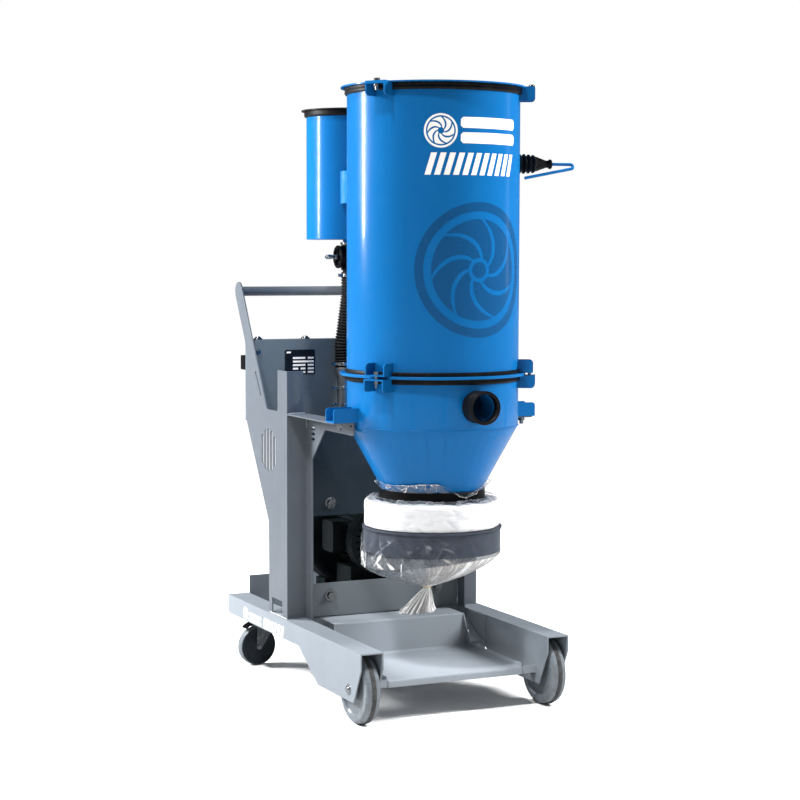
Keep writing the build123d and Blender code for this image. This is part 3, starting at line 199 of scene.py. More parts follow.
def paint(name, base, low_rough, high_rough, coat, gloss, dust=0.04, peel=0.0004, painted_light_band=None):
    """Sprayed enamel: faint shade changes, light dust, orange peel under a clear coat.

    The last argument is (colour, top, bottom) of painted light thrown up from below: a lighter colour that
    strengthens downward between two heights in metres.
    """
    shader = Shader(name, Coat_Weight=coat, Coat_Roughness=0.07, Specular_IOR_Level=gloss)
    shade = shader.noise(2.3, 3)
    coat_colour = shader.ramp(shade, (0.3, scaled(base, 0.93)), (0.7, scaled(base, 1.05)))
    specks = shader.noise(31, 6, distortion=0.4)
    dusty = shader.span(specks, 0.0, dust, 0.52, 0.85)
    surface = shader.mix(dusty, coat_colour, (0.42, 0.42, 0.41))
    # Painted light: the colour lightens towards the bottom between the two heights.
    if painted_light_band:
        colour, top, bottom = painted_light_band
        split = shader.add("ShaderNodeSeparateXYZ")
        shader.link(shader.add("ShaderNodeTexCoord").outputs["Object"], split.inputs["Vector"])
        surface = shader.mix(shader.span(split.outputs["Z"], 0.0, 1.0, top, bottom), surface, colour)
    shader.colour(surface)
    smudge = shader.noise(11, 5, stretch=(1, 1, 0.35))
    shader.rough(shader.span(smudge, low_rough, high_rough))
    fine = shader.noise(330, 2)
    broad = shader.noise(24, 2)
    shader.bump(shader.height(fine, broad, 0.35), 0.22, peel)
    return shader.material


def plated(name, base, low_rough, high_rough):
    """Zinc plate: blotchy passivation with fine tool marks."""
    shader = Shader(name, Metallic=1.0)
    blotch = shader.noise(90, 5, distortion=1.2)
    warm = (base[0] * 1.02, base[1] * 0.97, base[2] * 0.86)
    shader.colour(shader.ramp(blotch, (0.32, scaled(base, 0.74)), (0.5, base), (0.68, warm)))
    scratch = shader.noise(420, 3, stretch=(1, 1, 0.12))
    shader.rough(shader.span(scratch, low_rough, high_rough))
    shader.bump(scratch, 0.18, 0.0002)
    return shader.material


def rubber(name, base, rough, dust=0.25):
    """Moulded rubber with a dusty bloom and a fine grain."""
    shader = Shader(name, Specular_IOR_Level=0.15)
    bloom = shader.noise(46, 6, distortion=0.6)
    shader.colour(shader.mix(shader.span(bloom, 0.0, dust, 0.45, 0.8), base, (0.30, 0.29, 0.27)))
    grain = shader.noise(640, 3)
    shader.rough(shader.span(grain, rough - 0.1, rough + 0.1))
    shader.bump(grain, 0.3, 0.0003)
    return shader.material


def plastic(name, base, rough):
    """Moulded plastic with a spark-eroded grain."""
    shader = Shader(name, Specular_IOR_Level=0.08)
    tone = shader.noise(37, 4)
    shader.colour(shader.ramp(tone, (0.3, scaled(base, 0.86)), (0.7, scaled(base, 1.2))))
    grain = shader.noise(900, 2)
    shader.rough(shader.span(tone, rough - 0.07, rough + 0.07))
    shader.bump(grain, 0.2, 0.0002)
    return shader.material


def tyre_material():
    """Smooth mid-grey wheel rubber, lightly scuffed."""
    shader = Shader("tyre_grey", Specular_IOR_Level=0.4)
    bloom = shader.noise(60, 6, distortion=0.8)
    clean, scuffed = (0.150, 0.170, 0.190), (0.115, 0.130, 0.145)
    shader.colour(shader.ramp(bloom, (0.32, scuffed), (0.6, clean)))
    grain = shader.noise(520, 4)
    shader.rough(shader.span(grain, 0.16, 0.30))
    shader.bump(grain, 0.15, 0.0002)
    return shader.material


def tread_material():
    """Worn running band of a wheel, dirtied by the floor."""
    shader = Shader("tread_worn", Specular_IOR_Level=0.3)
    dirt = shader.noise(85, 6, distortion=1.0)
    shader.colour(shader.ramp(dirt, (0.3, (0.030, 0.030, 0.030)), (0.62, (0.058, 0.060, 0.061))))
    shader.rough(shader.span(dirt, 0.6, 0.8))
    shader.bump(dirt, 0.35, 0.0004)
    return shader.material


def film_material():
    """Thin clear polyethylene, whiter where its folds lie together and where it turns away, and white where
    highlights are painted on its crumples.
    """
    shader = Shader("clear_film", Coat_Weight=0.4, Coat_Roughness=0.12, Specular_IOR_Level=0.5)
    layers = shader.add("ShaderNodeAttribute")
    layers.attribute_name = "haze_and_highlight"
    haze_and_highlight = layers.outputs["Fac"]
    clear, mid = (0.17, 0.195, 0.225), (0.21, 0.230, 0.255)
    milky, white = (0.40, 0.385, 0.368), (0.88, 0.88, 0.88)
    # Whiteness near 1 is painted white: besides layered film it carries painted highlights on the crumples.
    shader.colour(shader.ramp(haze_and_highlight, (0.05, clear), (0.50, mid), (0.78, milky), (1.0, white)))
    turn = shader.add("ShaderNodeLayerWeight")
    turn.inputs["Blend"].default_value = 0.35
    total = shader.add("ShaderNodeMath")
    total.use_clamp = True
    shader.link(haze_and_highlight, total.inputs[0])
    shader.link(shader.span(turn.outputs["Facing"], 0.0, 0.30, 0.55, 1.0), total.inputs[1])
    shader.link(total.outputs["Value"], shader.main.inputs["Alpha"])
    crumple = shader.noise(120, 6, stretch=(1, 1, 0.6), distortion=1.4)
    shader.rough(shader.span(crumple, 0.18, 0.36))
    shader.bump(crumple, 0.30, 0.0012)
    return shader.material


def pack_material():
    """Folded white film, almost opaque in many layers."""
    shader = Shader("folded_film", Coat_Weight=0.25, Coat_Roughness=0.2)
    folds = shader.noise(26, 5, stretch=(1, 1, 2.2), distortion=0.9)
    shader.colour(shader.ramp(folds, (0.3, (0.54, 0.55, 0.57)), (0.55, (0.65, 0.65, 0.66))))
    shader.rough(shader.span(folds, 0.38, 0.55))
    layers = shader.noise(60, 5, stretch=(0.35, 0.35, 6.0), distortion=0.3)
    shader.bump(shader.height(folds, layers, 0.45), 0.5, 0.0022)
    return shader.material


def weld_material():
    """Bright unpainted weld bead with heat-dulled patches."""
    shader = Shader("weld_bead", Metallic=0.55)
    heat = shader.noise(240, 4)
    shader.colour(shader.ramp(heat, (0.3, (0.46, 0.46, 0.46)), (0.65, (0.80, 0.80, 0.79))))
    shader.rough(shader.span(heat, 0.35, 0.6))
    shader.bump(heat, 0.4, 0.0004)
    return shader.material


def vinyl(name, base, rough=0.32):
    """Printed vinyl sticker with a faint ink mottle."""
    shader = Shader(name, Coat_Weight=0.22, Coat_Roughness=0.07, Specular_IOR_Level=0.14)
    mottle = shader.noise(6, 3)
    shader.colour(shader.ramp(mottle, (0.3, scaled(base, 0.97)), (0.7, scaled(base, 1.03))))
    shader.rough(shader.span(mottle, rough - 0.03, rough + 0.03))
    shader.bump(shader.noise(300, 2), 0.05, 0.0001)
    return shader.material


def felt(name, base):
    """Felted filter cloth."""
    shader = Shader(name, Sheen_Weight=0.3)
    tuft = shader.noise(190, 6)
    shader.colour(shader.ramp(tuft, (0.3, scaled(base, 0.82)), (0.7, base)))
    shader.rough(shader.span(tuft, 0.75, 0.95))
    shader.bump(tuft, 0.5, 0.0008)
    return shader.material


GREY = paint("grey_enamel", (0.185, 0.210, 0.238), 0.32, 0.44, 0.08, gloss=0.25)
# Painted light: the tray's grey is a lighter copy of the rails' enamel, standing in for light that reaches
# the tray under the drum.
TRAY_LIT_GREY = paint("tray_enamel_painted_light", (0.240, 0.268, 0.300), 0.30, 0.42, 0.10, gloss=0.3)
# Painted shade: the uprights' and arms' grey is a darker copy of the rails' enamel, standing in for the shade
# that falls on them beside and below the drum.
FRAME_SHADED_GREY = paint("frame_enamel_painted_shade", (0.094, 0.108, 0.126), 0.32, 0.44, 0.06, gloss=0.2)
DARK_GREY = paint("cabinet_enamel", (0.092, 0.116, 0.134), 0.34, 0.46, 0.06, gloss=0.18)
# Painted shade and light: the panel's very dark base stands in for the drum's shadow, and its lighter low
# band for light thrown up from the tray.
PANEL_SHADED = paint("panel_painted_shade_and_light", (0.022, 0.032, 0.042), 0.34, 0.46, 0.04, dust=0.02, gloss=0.12,
                   painted_light_band=((0.118, 0.136, 0.150), 0.46, 0.34))
BLUE = paint("blue_enamel", (0.004, 0.108, 0.310), 0.20, 0.27, 0.13, dust=0.01, gloss=0.10)
HOPPER_BLUE = paint("hopper_enamel", (0.004, 0.112, 0.320), 0.16, 0.22, 0.13, dust=0.01,
                    peel=0.0002, gloss=0.10)
ZINC = plated("zinc_plate", (0.42, 0.45, 0.48), 0.16, 0.30)
DULL_ZINC = plated("dull_zinc", (0.17, 0.18, 0.19), 0.22, 0.36)
PIPE = plated("pipe_steel", (0.40, 0.41, 0.42), 0.30, 0.46)
RUBBER = rubber("black_rubber", (0.004, 0.004, 0.005), 0.45, dust=0.03)
BLACK = plastic("black_plastic", (0.003, 0.003, 0.004), 0.42)
CASSETTE = plastic("cassette_grey", (0.040, 0.047, 0.062), 0.40)
MOTOR = paint("motor_enamel", (0.004, 0.006, 0.007), 0.45, 0.6, 0.0, dust=0.01, gloss=0.08)
TYRE = tyre_material()
TREAD = tread_material()
FILM = film_material()
PACK = pack_material()
WELD = weld_material()
DEEP_BLUE = vinyl("decal_deep_blue", (0.004, 0.062, 0.175), 0.28)
WHITE = vinyl("decal_white", (0.84, 0.81, 0.77))
PLATE_BLACK = vinyl("plate_black", (0.006, 0.006, 0.007), 0.28)
FELT = felt("filter_felt", (0.70, 0.68, 0.63))
HUB = plastic("hub_dark", (0.016, 0.020, 0.024), 0.40)
TIE = plastic("tie_clear", (0.60, 0.52, 0.38), 0.30)


# ======== meshes ========

def make_mesh(name, points, faces, material):
    """A smooth-shaded mesh object from points in the row's metres."""
    mesh = bpy.data.meshes.new(name)
    mesh.from_pydata([tuple(p) for p in points], [], faces)
    mesh.materials.append(material)
    mesh.polygons.foreach_set("use_smooth", [True] * len(mesh.polygons))
    mesh.validate()
    piece = bpy.data.objects.new(name, mesh)
    bpy.context.scene.collection.objects.link(piece)
    return piece


def skin(rings, capped=False, closed_along=False):
    """Faces between successive closed rings of points."""
    count = len(rings[0])
    points = [p for ring in rings for p in ring]
    faces = []
    last = len(rings) if closed_along else len(rings) - 1
    for i in range(last):
        a, b = i * count, ((i + 1) % len(rings)) * count
        for j in range(count):
            k = (j + 1) % count
            faces.append((a + j, a + k, b + k, b + j))
    if capped:
        start = (len(rings) - 1) * count
        faces.append(tuple(reversed(range(count))))
        faces.append(tuple(range(start, start + count)))
    return points, faces


def lathe(name, outline, frame_matrix, material, segments):
    """Revolves a closed outline of (radius, along) points about the frame's Z axis."""
    rings = []
    for step in range(segments):
        angle = 2 * math.pi * step / segments
        c, s = math.cos(angle), math.sin(angle)
        rings.append([frame_matrix @ Vector((r * c / 1000, r * s / 1000, h / 1000)) for r, h in outline])
    points, faces = skin(rings, closed_along=True)
    return make_mesh(name, points, faces, material)


def along_frame(origin, axis):
    """Frame at an origin with its Z axis along a direction."""
    return Matrix.Translation(origin) @ Vector(axis).to_track_quat("Z", "Y").to_matrix().to_4x4()


def tube(name, line, radius, material, segments, capped=True):
    """Sweeps a circle along points; radius is a number or a function of (share, angle, length)."""
    line = [Vector(p) for p in line]
    lengths = [0.0]
    for a, b in zip(line, line[1:]):
        lengths.append(lengths[-1] + (b - a).length)
    normal = None
    rings = []
    for i, point in enumerate(line):
        ahead = line[min(i + 1, len(line) - 1)]
        behind = line[max(i - 1, 0)]
        tangent = (ahead - behind).normalized()
        if normal is None:
            helper = Vector((0.3, 0.9, 0.2))
            normal = (helper - tangent * helper.dot(tangent)).normalized()
        normal = (normal - tangent * normal.dot(tangent)).normalized()
        side = tangent.cross(normal)
        ring = []
        for j in range(segments):
            angle = 2 * math.pi * j / segments
            size = radius
            if callable(radius):
                size = radius(lengths[i] / lengths[-1], angle, lengths[i])
            ring.append(point + normal * math.cos(angle) * size + side * math.sin(angle) * size)
        rings.append(ring)
    points, faces = skin(rings, capped=capped)
    return make_mesh(name, points, faces, material)


def rounded_route(corners, radius, step):
    """Points along straight runs joined by tangent arcs, about a step apart."""
    corners = [Vector(c) for c in corners]
    route = [corners[0]]
    for before, corner, after in zip(corners, corners[1:], corners[2:]):
        inward = (corner - before).normalized()
        outward = (after - corner).normalized()
        turn = inward.angle(outward)
        trim = radius * math.tan(turn / 2)
        start = corner - inward * trim
        side = (outward - inward * inward.dot(outward)).normalized()
        centre = start + side * radius
        count = max(4, int(radius * turn / step))
        route += [
            centre - side * radius * math.cos(turn * k / count) + inward * radius * math.sin(turn * k / count)
            for k in range(count + 1)
        ]
    route.append(corners[-1])
    even = [route[0]]
    for a, b in zip(route, route[1:]):
        parts = max(1, round((b - a).length / step))
        even += [a.lerp(b, k / parts) for k in range(1, parts + 1)]
    return even


def straight(a, b, step=1.0):
    """Evenly spaced points of the cart's frame from a to b."""
    a, b = Vector(a), Vector(b)
    count = max(2, int((b - a).length / step))
    return [place(*a.lerp(b, k / count)) for k in range(count + 1)]


def ripple(size, pitch=0.0034):
    """Radius of a weld bead, heaped up once for each deposit."""
    def radius(share, angle, length):
        heap = 0.82 + 0.18 * abs(math.sin(math.pi * length / pitch))
        wander = 1 + 0.18 * noise.noise(Vector((length * 140, size * 9000, 0)))
        return size / 1000 * heap * wander * min(1.0, 0.35 + 14 * share, 0.35 + 14 * (1 - share))
    return radius


# ======== CAD nodes: materials and edges ========

FINISHES = {
    GREY: ["left_rail", "right_rail", "motor_deck"],
    TRAY_LIT_GREY: ["tray", "tray_brackets"],
    FRAME_SHADED_GREY: ["left_upright", "right_upright", "left_arm", "right_arm", "handle_tube"],
    DARK_GREY: ["cabinet_shell", "cabinet_door"],
    PANEL_SHADED: ["front_panel"],
    HOPPER_BLUE: ["hopper"],
    BLUE: ["drum_shell", "drum_lid", "filter_plate", "clamp_brackets", "drum_feet",
           "inlet_stub", "hepa_shell", "clean_duct", "pulse_lever"],
    RUBBER: ["gaskets", "inlet_cuff", "lever_boot", "hose", "hepa_lid"],
    DULL_ZINC: ["frame_bolts"],
    ZINC: ["axle_bolts", "drum_bolts", "door_hinges", "caster_plates",
           "left_caster_fork", "right_caster_fork", "hose_clamps", "valve_spring", "valve_poppet"],
    PIPE: ["suction_pipe"],
    BLACK: ["valve_body", "neck_band", "door_latch", "main_switch",
            "left_caster_brake", "right_caster_brake"],
    CASSETTE: ["cassette_ring"],
    MOTOR: ["blower_housing", "motor_body", "rotor"],
    TYRE: ["left_front_wheel", "right_front_wheel", "left_caster_wheel", "right_caster_wheel"],
    FELT: ["main_filter", "hepa_filter"],
    PLATE_BLACK: ["data_plate"],
    FILM: ["bag_film"],
    PACK: ["bag_pack"],
    TIE: ["bag_tie"],
}
THIN_EDGED = {"valve_body", "data_plate", "door_hinges", "main_filter", "rotor", "motor_body"}
EDGE_WIDTH = 0.0011
THIN_EDGE_WIDTH = 0.0004
HUB_RADIUS = 0.0595


def dress(node, material):
    """Gives a CAD node its material and softly rounded edges."""
    piece = NODES[node]
    piece.data.materials.clear()
    piece.data.materials.append(material)
    if "custom_normal" in piece.data.attributes:
        piece.data.attributes.remove(piece.data.attributes["custom_normal"])
    piece.data.polygons.foreach_set("use_smooth", [True] * len(piece.data.polygons))
    joined = piece.modifiers.new("join_seams", "WELD")
    joined.merge_threshold = 0.00001
    whole = piece.modifiers.new("whole_faces", "DECIMATE")
    whole.decimate_type = "DISSOLVE"
    whole.angle_limit = math.radians(0.3)
    edges = piece.modifiers.new("soft_edges", "BEVEL")
    edges.width = THIN_EDGE_WIDTH if node in THIN_EDGED else EDGE_WIDTH
    edges.segments = 2
    edges.limit_method = "ANGLE"
    edges.angle_limit = math.radians(32)
    edges.use_clamp_overlap = True
    flat = piece.modifiers.new("flat_faces", "WEIGHTED_NORMAL")
    flat.keep_sharp = True


for finish, names in FINISHES.items():
    for node_name in names:
        dress(node_name, finish)


def paint_hubs():
    """Dark disc inside each caster's grey tyre."""
    for side, turn in (("left", 186), ("right", 150)):
        name = f"{side}_caster_wheel"
        mesh = NODES[name].data
        mesh.materials.append(HUB)
        low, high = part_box(name)
        centre = (low + high) / 2
        axle = Vector((-math.sin(math.radians(turn)), math.cos(math.radians(turn)), 0))
        for polygon in mesh.polygons:
            arms = [mesh.vertices[v].co - centre for v in polygon.vertices]
            reach = max((arm - axle * arm.dot(axle)).length for arm in arms)
            polygon.material_index = 1 if reach < HUB_RADIUS else 0


paint_hubs()


# ======== hose, spring, boot ========

def make_hose():
    """Corrugated hose with one helical ridge, on the route that the CAD hose follows."""
    corners = [place(0, HEPA_Y, 1256), place(0, HEPA_Y, 1185),
               place(PIPE_X, HEPA_Y, 1030), place(PIPE_X, HEPA_Y, 955.4)]
    line = rounded_route(corners, 0.2, 0.0012)
    pitch = 0.0092

    def outer(share, angle, length):
        wave = 0.5 + 0.5 * math.cos(2 * math.pi * length / pitch - angle)
        cuff = min(1.0, length / 0.018, (0.301 - length) / 0.024)
        plain = 0.0302
        ridged = 0.0268 + 0.0050 * wave ** 0.7
        return plain + (ridged - plain) * max(0.0, min(1.0, (cuff - 0.55) * 3))

    hose = tube("hose_corrugated", line, outer, RUBBER, segments=56, capped=False)
    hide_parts("hose")
    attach(hose, "machine")


def make_spring():
    """Coil of the relief valve's spring."""
    turns, radius, start, end = 6.5, 0.0066, -70.2, -47.0
    centre = place(0, HEPA_Y, VALVE_Z)
    line = []
    for k in range(241):
        share = k / 240
        angle = 2 * math.pi * turns * share
        x = CENTRE_X + (start + (end - start) * share) / 1000
        line.append(Vector((x, centre.y + radius * math.cos(angle), centre.z + radius * math.sin(angle))))
    coil = tube("valve_spring_coil", line, 0.0008, ZINC, segments=8)
    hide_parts("valve_spring")
    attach(coil, "machine")
    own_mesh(coil)


def boot_outline():
    """(radius, along) outline of the bellows, out along its folds and back inside."""
    outer = []
    start, end, folds = BOOT_FOOT, 306.0, 4
    count = 16 * folds
    for k in range(count + 1):
        share = k / count
        crest = 31.0 - 5.0 * share
        root = 20.0 + 1.5 * share
        wave = 0.5 - 0.5 * math.cos(2 * math.pi * folds * share)
        outer.append((root + (crest - root) * wave ** 0.8, start + (end - start) * share))
    outer += [(21, 310), (17.5, 319), (14.5, 328), (12.2, 334), (10.8, 338), (10.8, BOOT_NECK)]
    outer += [(12.2, 347), (14.2, 349), (14.2, 353), (12.6, 355), (5.2, 355)]
    inner = [(5.2, 338), (11, 331), (19, 308), (18.4, BOOT_FOOT)]
    return outer + inner


def make_boot():
    """Rubber bellows over the lever's rod, from the drum's wall out along the rod."""
    axis = (math.cos(LEVER_TURN), math.sin(LEVER_TURN), 0)
    origin = place(0, DRUM_Y, LEVER_Z)
    outward = along_frame(origin, axis)
    boot = lathe("lever_bellows", boot_outline(), outward, RUBBER, segments=64)
    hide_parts("lever_boot")
    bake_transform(boot)


# ======== bag ========

def cloud(x, y, z):
    """Smooth noise, from -1 to 1."""
    return noise.noise(Vector((x, y, z)))


def crease(x, y, z, sharp=6):
    """Sharp-ridged noise, from 0 in the hollows to 1 on a fold."""
    return (1 - abs(cloud(x, y, z))) ** sharp


def smooth(low, high, value):
    """Eased step from 0 to 1 between two values."""
    share = min(1.0, max(0.0, (value - low) / (high - low)))
    return share * share * (3 - 2 * share)


def facing(turn, degrees):
    """1 on the side of the bag at an angle, 0 opposite."""
    return 0.5 + 0.5 * math.cos(turn - math.radians(degrees))


def spaced(points, count):
    """Resamples a polyline to evenly spaced points."""
    lengths = [0.0]
    for a, b in zip(points, points[1:]):
        lengths.append(lengths[-1] + math.dist(a, b))
    result = []
    for k in range(count):
        goal = lengths[-1] * k / (count - 1)
        i = max(n for n in range(len(lengths) - 1) if lengths[n] <= goal + 1e-9)
        share = (goal - lengths[i]) / max(1e-9, lengths[i + 1] - lengths[i])
        share = min(1.0, share)
        result.append(tuple(a + (b - a) * share for a, b in zip(points[i], points[i + 1])))
    return result


def film_piece(name, rings):
    """A film surface from rings of (point, whiteness), where the whiteness says how many layers lie together
    and also carries painted highlights.
    """
    points, faces = skin([[point for point, haze_and_highlight in ring] for ring in rings])
    piece = make_mesh(name, points, faces, FILM)
    layer = piece.data.attributes.new("haze_and_highlight", "FLOAT", "POINT")
    layer.data.foreach_set("value", [haze_and_highlight for ring in rings for point, haze_and_highlight in ring])
    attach(piece, "machine")
    return piece


def film_ring(around, spot):
    """One ring of film, spot(turn, cos, sin) giving radius, height and whiteness (layers and painted
    highlights), and perhaps a shift in x.
    """
    ring = []
    for step in range(around):
        turn = 2 * math.pi * step / around
        c, s = math.cos(turn), math.sin(turn)
        radius, height, haze_and_highlight, *shift = spot(turn, c, s)
        x = c * radius + (shift[0] if shift else 0.0)
        ring.append((place(x, DRUM_Y + s * radius, height), min(1.0, max(0.0, haze_and_highlight))))
    return ring


def crumple(x, y, z):
    """Crumpled film at a point: its height, 1 on a straight fold between facets, and the facet's shade."""
    near, points = noise.voronoi(Vector((x, y, z)))
    facet = noise.cell(points[0] * 7.3)
    return near[0] + 0.35 * facet, max(0.0, 1 - (near[1] - near[0]) * 9), facet


def glint_streak(along, up, lean, seed, fine=0.10):
    """Short tapered strokes that lean one way, from 0 to 1, used as painted highlights on crumpled film."""
    c, d = math.cos(lean), math.sin(lean)
    long, across = along * c + up * d, up * c - along * d
    return smooth(0.22, 0.55, cloud(long * fine * 0.2, across * fine, seed))


def hanging(turn, height):
    """Film that hangs over the ring: how loose it is, its bulge, its white folds with painted highlight
    streaks, and its shade.
    """
    along = turn * (HANG_R + 0.5)
    loose = 0.10 + 0.90 * smooth(0.50, 0.94, facing(turn, -160))
    large, fold, facet = crumple((along + 0.6 * height) * 0.016, (height - 0.3 * along) * 0.010, 3.1)
    small, _, shade = crumple((along - 0.8 * height) * 0.040, (height + 0.4 * along) * 0.024, 8.7)
    # Painted highlights: white streaks that lean two ways, stronger on some facets, with fold lines whitened
    # as well, partly as layered film.
    white = max(glint_streak(along, height, 0.75, 2.2), 0.8 * glint_streak(along, height, -0.55, 6.4, 0.13))
    white = max(white * (0.3 + 0.7 * facet), 0.5 * fold * facet)
    return loose, large + 0.35 * small, white, 0.5 * (facet + shade)


def make_bag():
    """Clear film over the ring, drawn together at the knot."""
    around, down, lower = 760, 46, 90

    def low_edge(turn):
        return CASSETTE_LOW - 4 - 38 * facing(turn, 172) ** 2.2

    def drop_edge(turn):
        loose, bulk, *_ = hanging(turn, low_edge(turn))
        return HANG_R + loose * 6.0 * bulk

    rings = []
    for row in range(down):
        def over_ring(turn, c, s):
            corner = low_edge(turn)
            outline = [(HANG_R + 3.1, LIP_Z - 2), (HANG_R + 1.9, LIP_Z - 12)]
            outline += [(HANG_R + 1.4, CASSETTE_LOW), (HANG_R, corner)]
            radius, height = spaced(outline, down)[row]
            free = smooth(LIP_Z - 4, LIP_Z - 34, height)
            loose, bulk, fold, facet = hanging(turn, height)
            below = smooth(CASSETTE_LOW + 6, CASSETTE_LOW - 6, height)
            # The third value from hanging() is painted highlight streaks and whitened folds, added to the
            # film's whiteness.
            haze_and_highlight = 0.02 + free * loose * (0.85 * fold + 0.22 * facet) + 0.38 * below
            return radius + free * loose * 6.0 * bulk, height, haze_and_highlight
        rings.append(film_ring(around, over_ring))
    for row in range(1, lower + 1):
        share = row / lower

        def below_ring(turn, c, s):
            corner, edge = low_edge(turn), drop_edge(turn)
            full = math.sin(math.pi * min(1.0, share * 1.02)) ** 0.6
            right = smooth(0.25, 0.80, facing(turn, -35))
            pleat = crease(turn * 5.5, 0.7 + share * 0.4, 2.2, 9)
            pleat += 0.8 * crease(turn * 11, share * 0.5, 6.1, 7)
            pleat += 0.6 * crease(turn * 23, share * 0.4, 1.3, 5)
            bulk, fold, facet = crumple(c * 3.2 * (1 - 0.5 * share), s * 3.2, share * 3.0)
            lift = full * (4.0 * (pleat - 0.7) + (1 - 0.75 * right) * 7 * (bulk - 0.45))
            reach = edge * (1 - share) + 8.5 * share
            height = corner + (KNOT[2] - corner) * share ** 0.66
            haze_and_highlight = 0.44 + 0.34 * right + (0.06 + 0.14 * right) * smooth(0.5, 1.5, pleat)
            # Painted highlights: white streaks on the left of the bag below the ring, with whitened folds,
            # partly layered film.
            white = glint_streak(turn * 80, share * 130, 1.2, 4.4, 0.11)
            haze_and_highlight += (1 - right) * (0.15 * white * white + 0.10 * fold * facet + 0.05 * facet)
            haze_and_highlight += 0.25 * smooth(0.75, 1.0, share)
            return reach + lift * 0.5, height + lift * 0.9, haze_and_highlight, KNOT[0] * share ** 1.4
        rings.append(film_ring(around, below_ring))
    bag = film_piece("bag_hanging", rings)
    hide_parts("bag_film")
    return bag


def make_tail():
    """Gathered end of the bag below the knot, fanned out in fine pleats with a ragged edge."""
    around, rows = 420, 54
    rings = []
    for row in range(rows + 1):
        share = row / rows
        ring = []
        for step in range(around):
            turn = 2 * math.pi * step / around
            c, s = math.cos(turn), math.sin(turn)
            pleat = crease(turn * 4.5, 0.3 * share, 4.4, 5) + 0.7 * crease(turn * 10, 0.4 * share, 9.1, 5)
            size = 1 + 0.34 * share * (pleat - 0.8) + 0.10 * share * cloud(c * 3, s * 3, share * 3)
            ragged = share ** 3 * (11 * cloud(c * 4, s * 4, 2.0) + 6 * (pleat - 0.8))
            x = KNOT[0] - 31 * share + c * (8.5 + 45 * share ** 0.8) * size
            y = DRUM_Y + s * (8.5 + 12 * share) * size
            z = max(KNOT[2] - 3 - 72 * share + ragged, 267.0)
            haze_and_highlight = 0.80 + 0.3 * smooth(0.4, 1.3, pleat) - 0.10 * share * (1 - pleat * 0.5)
            ring.append((place(x, y, z), min(1.0, max(0.0, haze_and_highlight))))
        rings.append(ring)
    return film_piece("bag_tail", rings)


def make_frill():
    """Top edge of the bag stock, crumpled round the neck over the strap, with one hanging flap."""
    rows = 30
    flap_at = math.radians(-80)
    rings = []
    for row in range(rows + 1):
        share = row / rows

        def edge(turn, c, s):
            away = math.remainder(turn - flap_at, 2 * math.pi)
            flap = math.exp(-(away / 0.30) ** 2)
            lump = cloud(c * 2.1, s * 2.1, 0.4)
            bulk, fold, facet = crumple(turn * 5.5, share * 1.5, 1.7)
            small, crack, shade = crumple(turn * 14, share * 2.6, 4.4)
            rise = (22 + 9 * lump + 3 * small) * (1 - 1.75 * flap)
            flare = 4 + 8 * share + 3 * lump + 6 * flap * math.sin(math.pi * share)
            radius = NECK_R + 4.6 + flare * share ** 0.7 + share * (9.0 * (bulk - 0.4) + 4.0 * (small - 0.4))
            height = STRAP_TOP + rise * share + 6 * flap * math.sin(math.pi * share)
            # Folds and cracks are painted white: partly layered film, partly painted highlights on the
            # creases; whiter towards the top edge.
            haze_and_highlight = 0.28 + 0.25 * facet + 0.55 * smooth(0.3, 1.0, max(fold * (0.3 + facet), crack * shade))
            return radius, height, haze_and_highlight + 0.7 * smooth(0.90, 1.0, share)
        rings.append(film_ring(760, edge))
    return film_piece("bag_frill", rings)


def make_collar():
    """Crumpled film that rises from the top of the stock to the strapped neck."""
    rows = 16
    rings = []
    for row in range(rows + 1):
        share = row / rows

        def slope(turn, c, s):
            bulk, fold, facet = crumple(turn * 6, share * 1.3, 3.3)
            small, crack, shade = crumple(turn * 15, share * 2.0, 7.9)
            lump = cloud(c * 3.3, s * 3.3, share)
            radius = 192 - 36 * share + 3 * lump
            height = STOCK_TOP + 5 * share + math.sin(math.pi * share) * (6.0 * bulk + 3.0 * small + 3 * lump)
            white = smooth(0.4, 1.0, max(fold * facet, crack * shade))
            return radius, height, 0.30 + 0.2 * facet + 0.6 * white
        rings.append(film_ring(560, slope))
    return film_piece("bag_collar", rings)


def make_pack():
    """Stock of bag folded down into a soft ring, its layers bulging unevenly."""
    around = 320
    outline = [(158, 598), (160, 604), (166, 607), (180, 606.5), (190, 606), (196, 602)]
    outline += [(199, 594), (199.5, 585), (199.5, 575), (199.3, 565), (199.5, 555), (199.4, 545)]
    outline += [(199, 537), (197.5, 530), (194, 528), (176, 528), (160, 528), (158, 540), (158, 570)]
    dense = spaced(outline + [outline[0]], 130)[:-1]
    rings = []
    for step in range(around):
        turn = 2 * math.pi * step / around
        c, s = math.cos(turn), math.sin(turn)
        ring = []
        for radius, height in dense:
            outside = min(1.0, max(0.0, (radius - 185) / 10))
            soft = cloud(c * 3.2, s * 3.2, height * 0.02)
            pucker = crease(c * 4.2 + height * 0.01, s * 4.2, height * 0.028)
            top = min(1.0, max(0.0, (height - 598) / 6))
            fold = math.sin(turn * 23 + 5 * soft)
            swell = outside * (1.6 * soft - 1.8 * pucker) - 1.0
            rise = top * (2.6 * soft + 1.2 * fold) - 1.5 * top
            ring.append(place(c * (radius + swell), DRUM_Y + s * (radius + swell), height + rise))
        rings.append(ring)
    points, faces = skin(rings, closed_along=True)
    pack = make_mesh("bag_stock", points, faces, PACK)
    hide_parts("bag_pack")
    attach(pack, "machine")


def make_tie():
    """Band of the cable tie round the knot."""
    centre = place(*KNOT)
    ring = []
    for k in range(49):
        angle = 2 * math.pi * k / 48
        ring.append(centre + Vector((0.0105 * math.cos(angle), 0.0105 * math.sin(angle), -0.0012)))
    band = tube("knot_tie", ring, 0.0021, TIE, segments=10, capped=False)
    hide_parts("bag_tie")
    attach(band, "machine")


# ======== decals ========

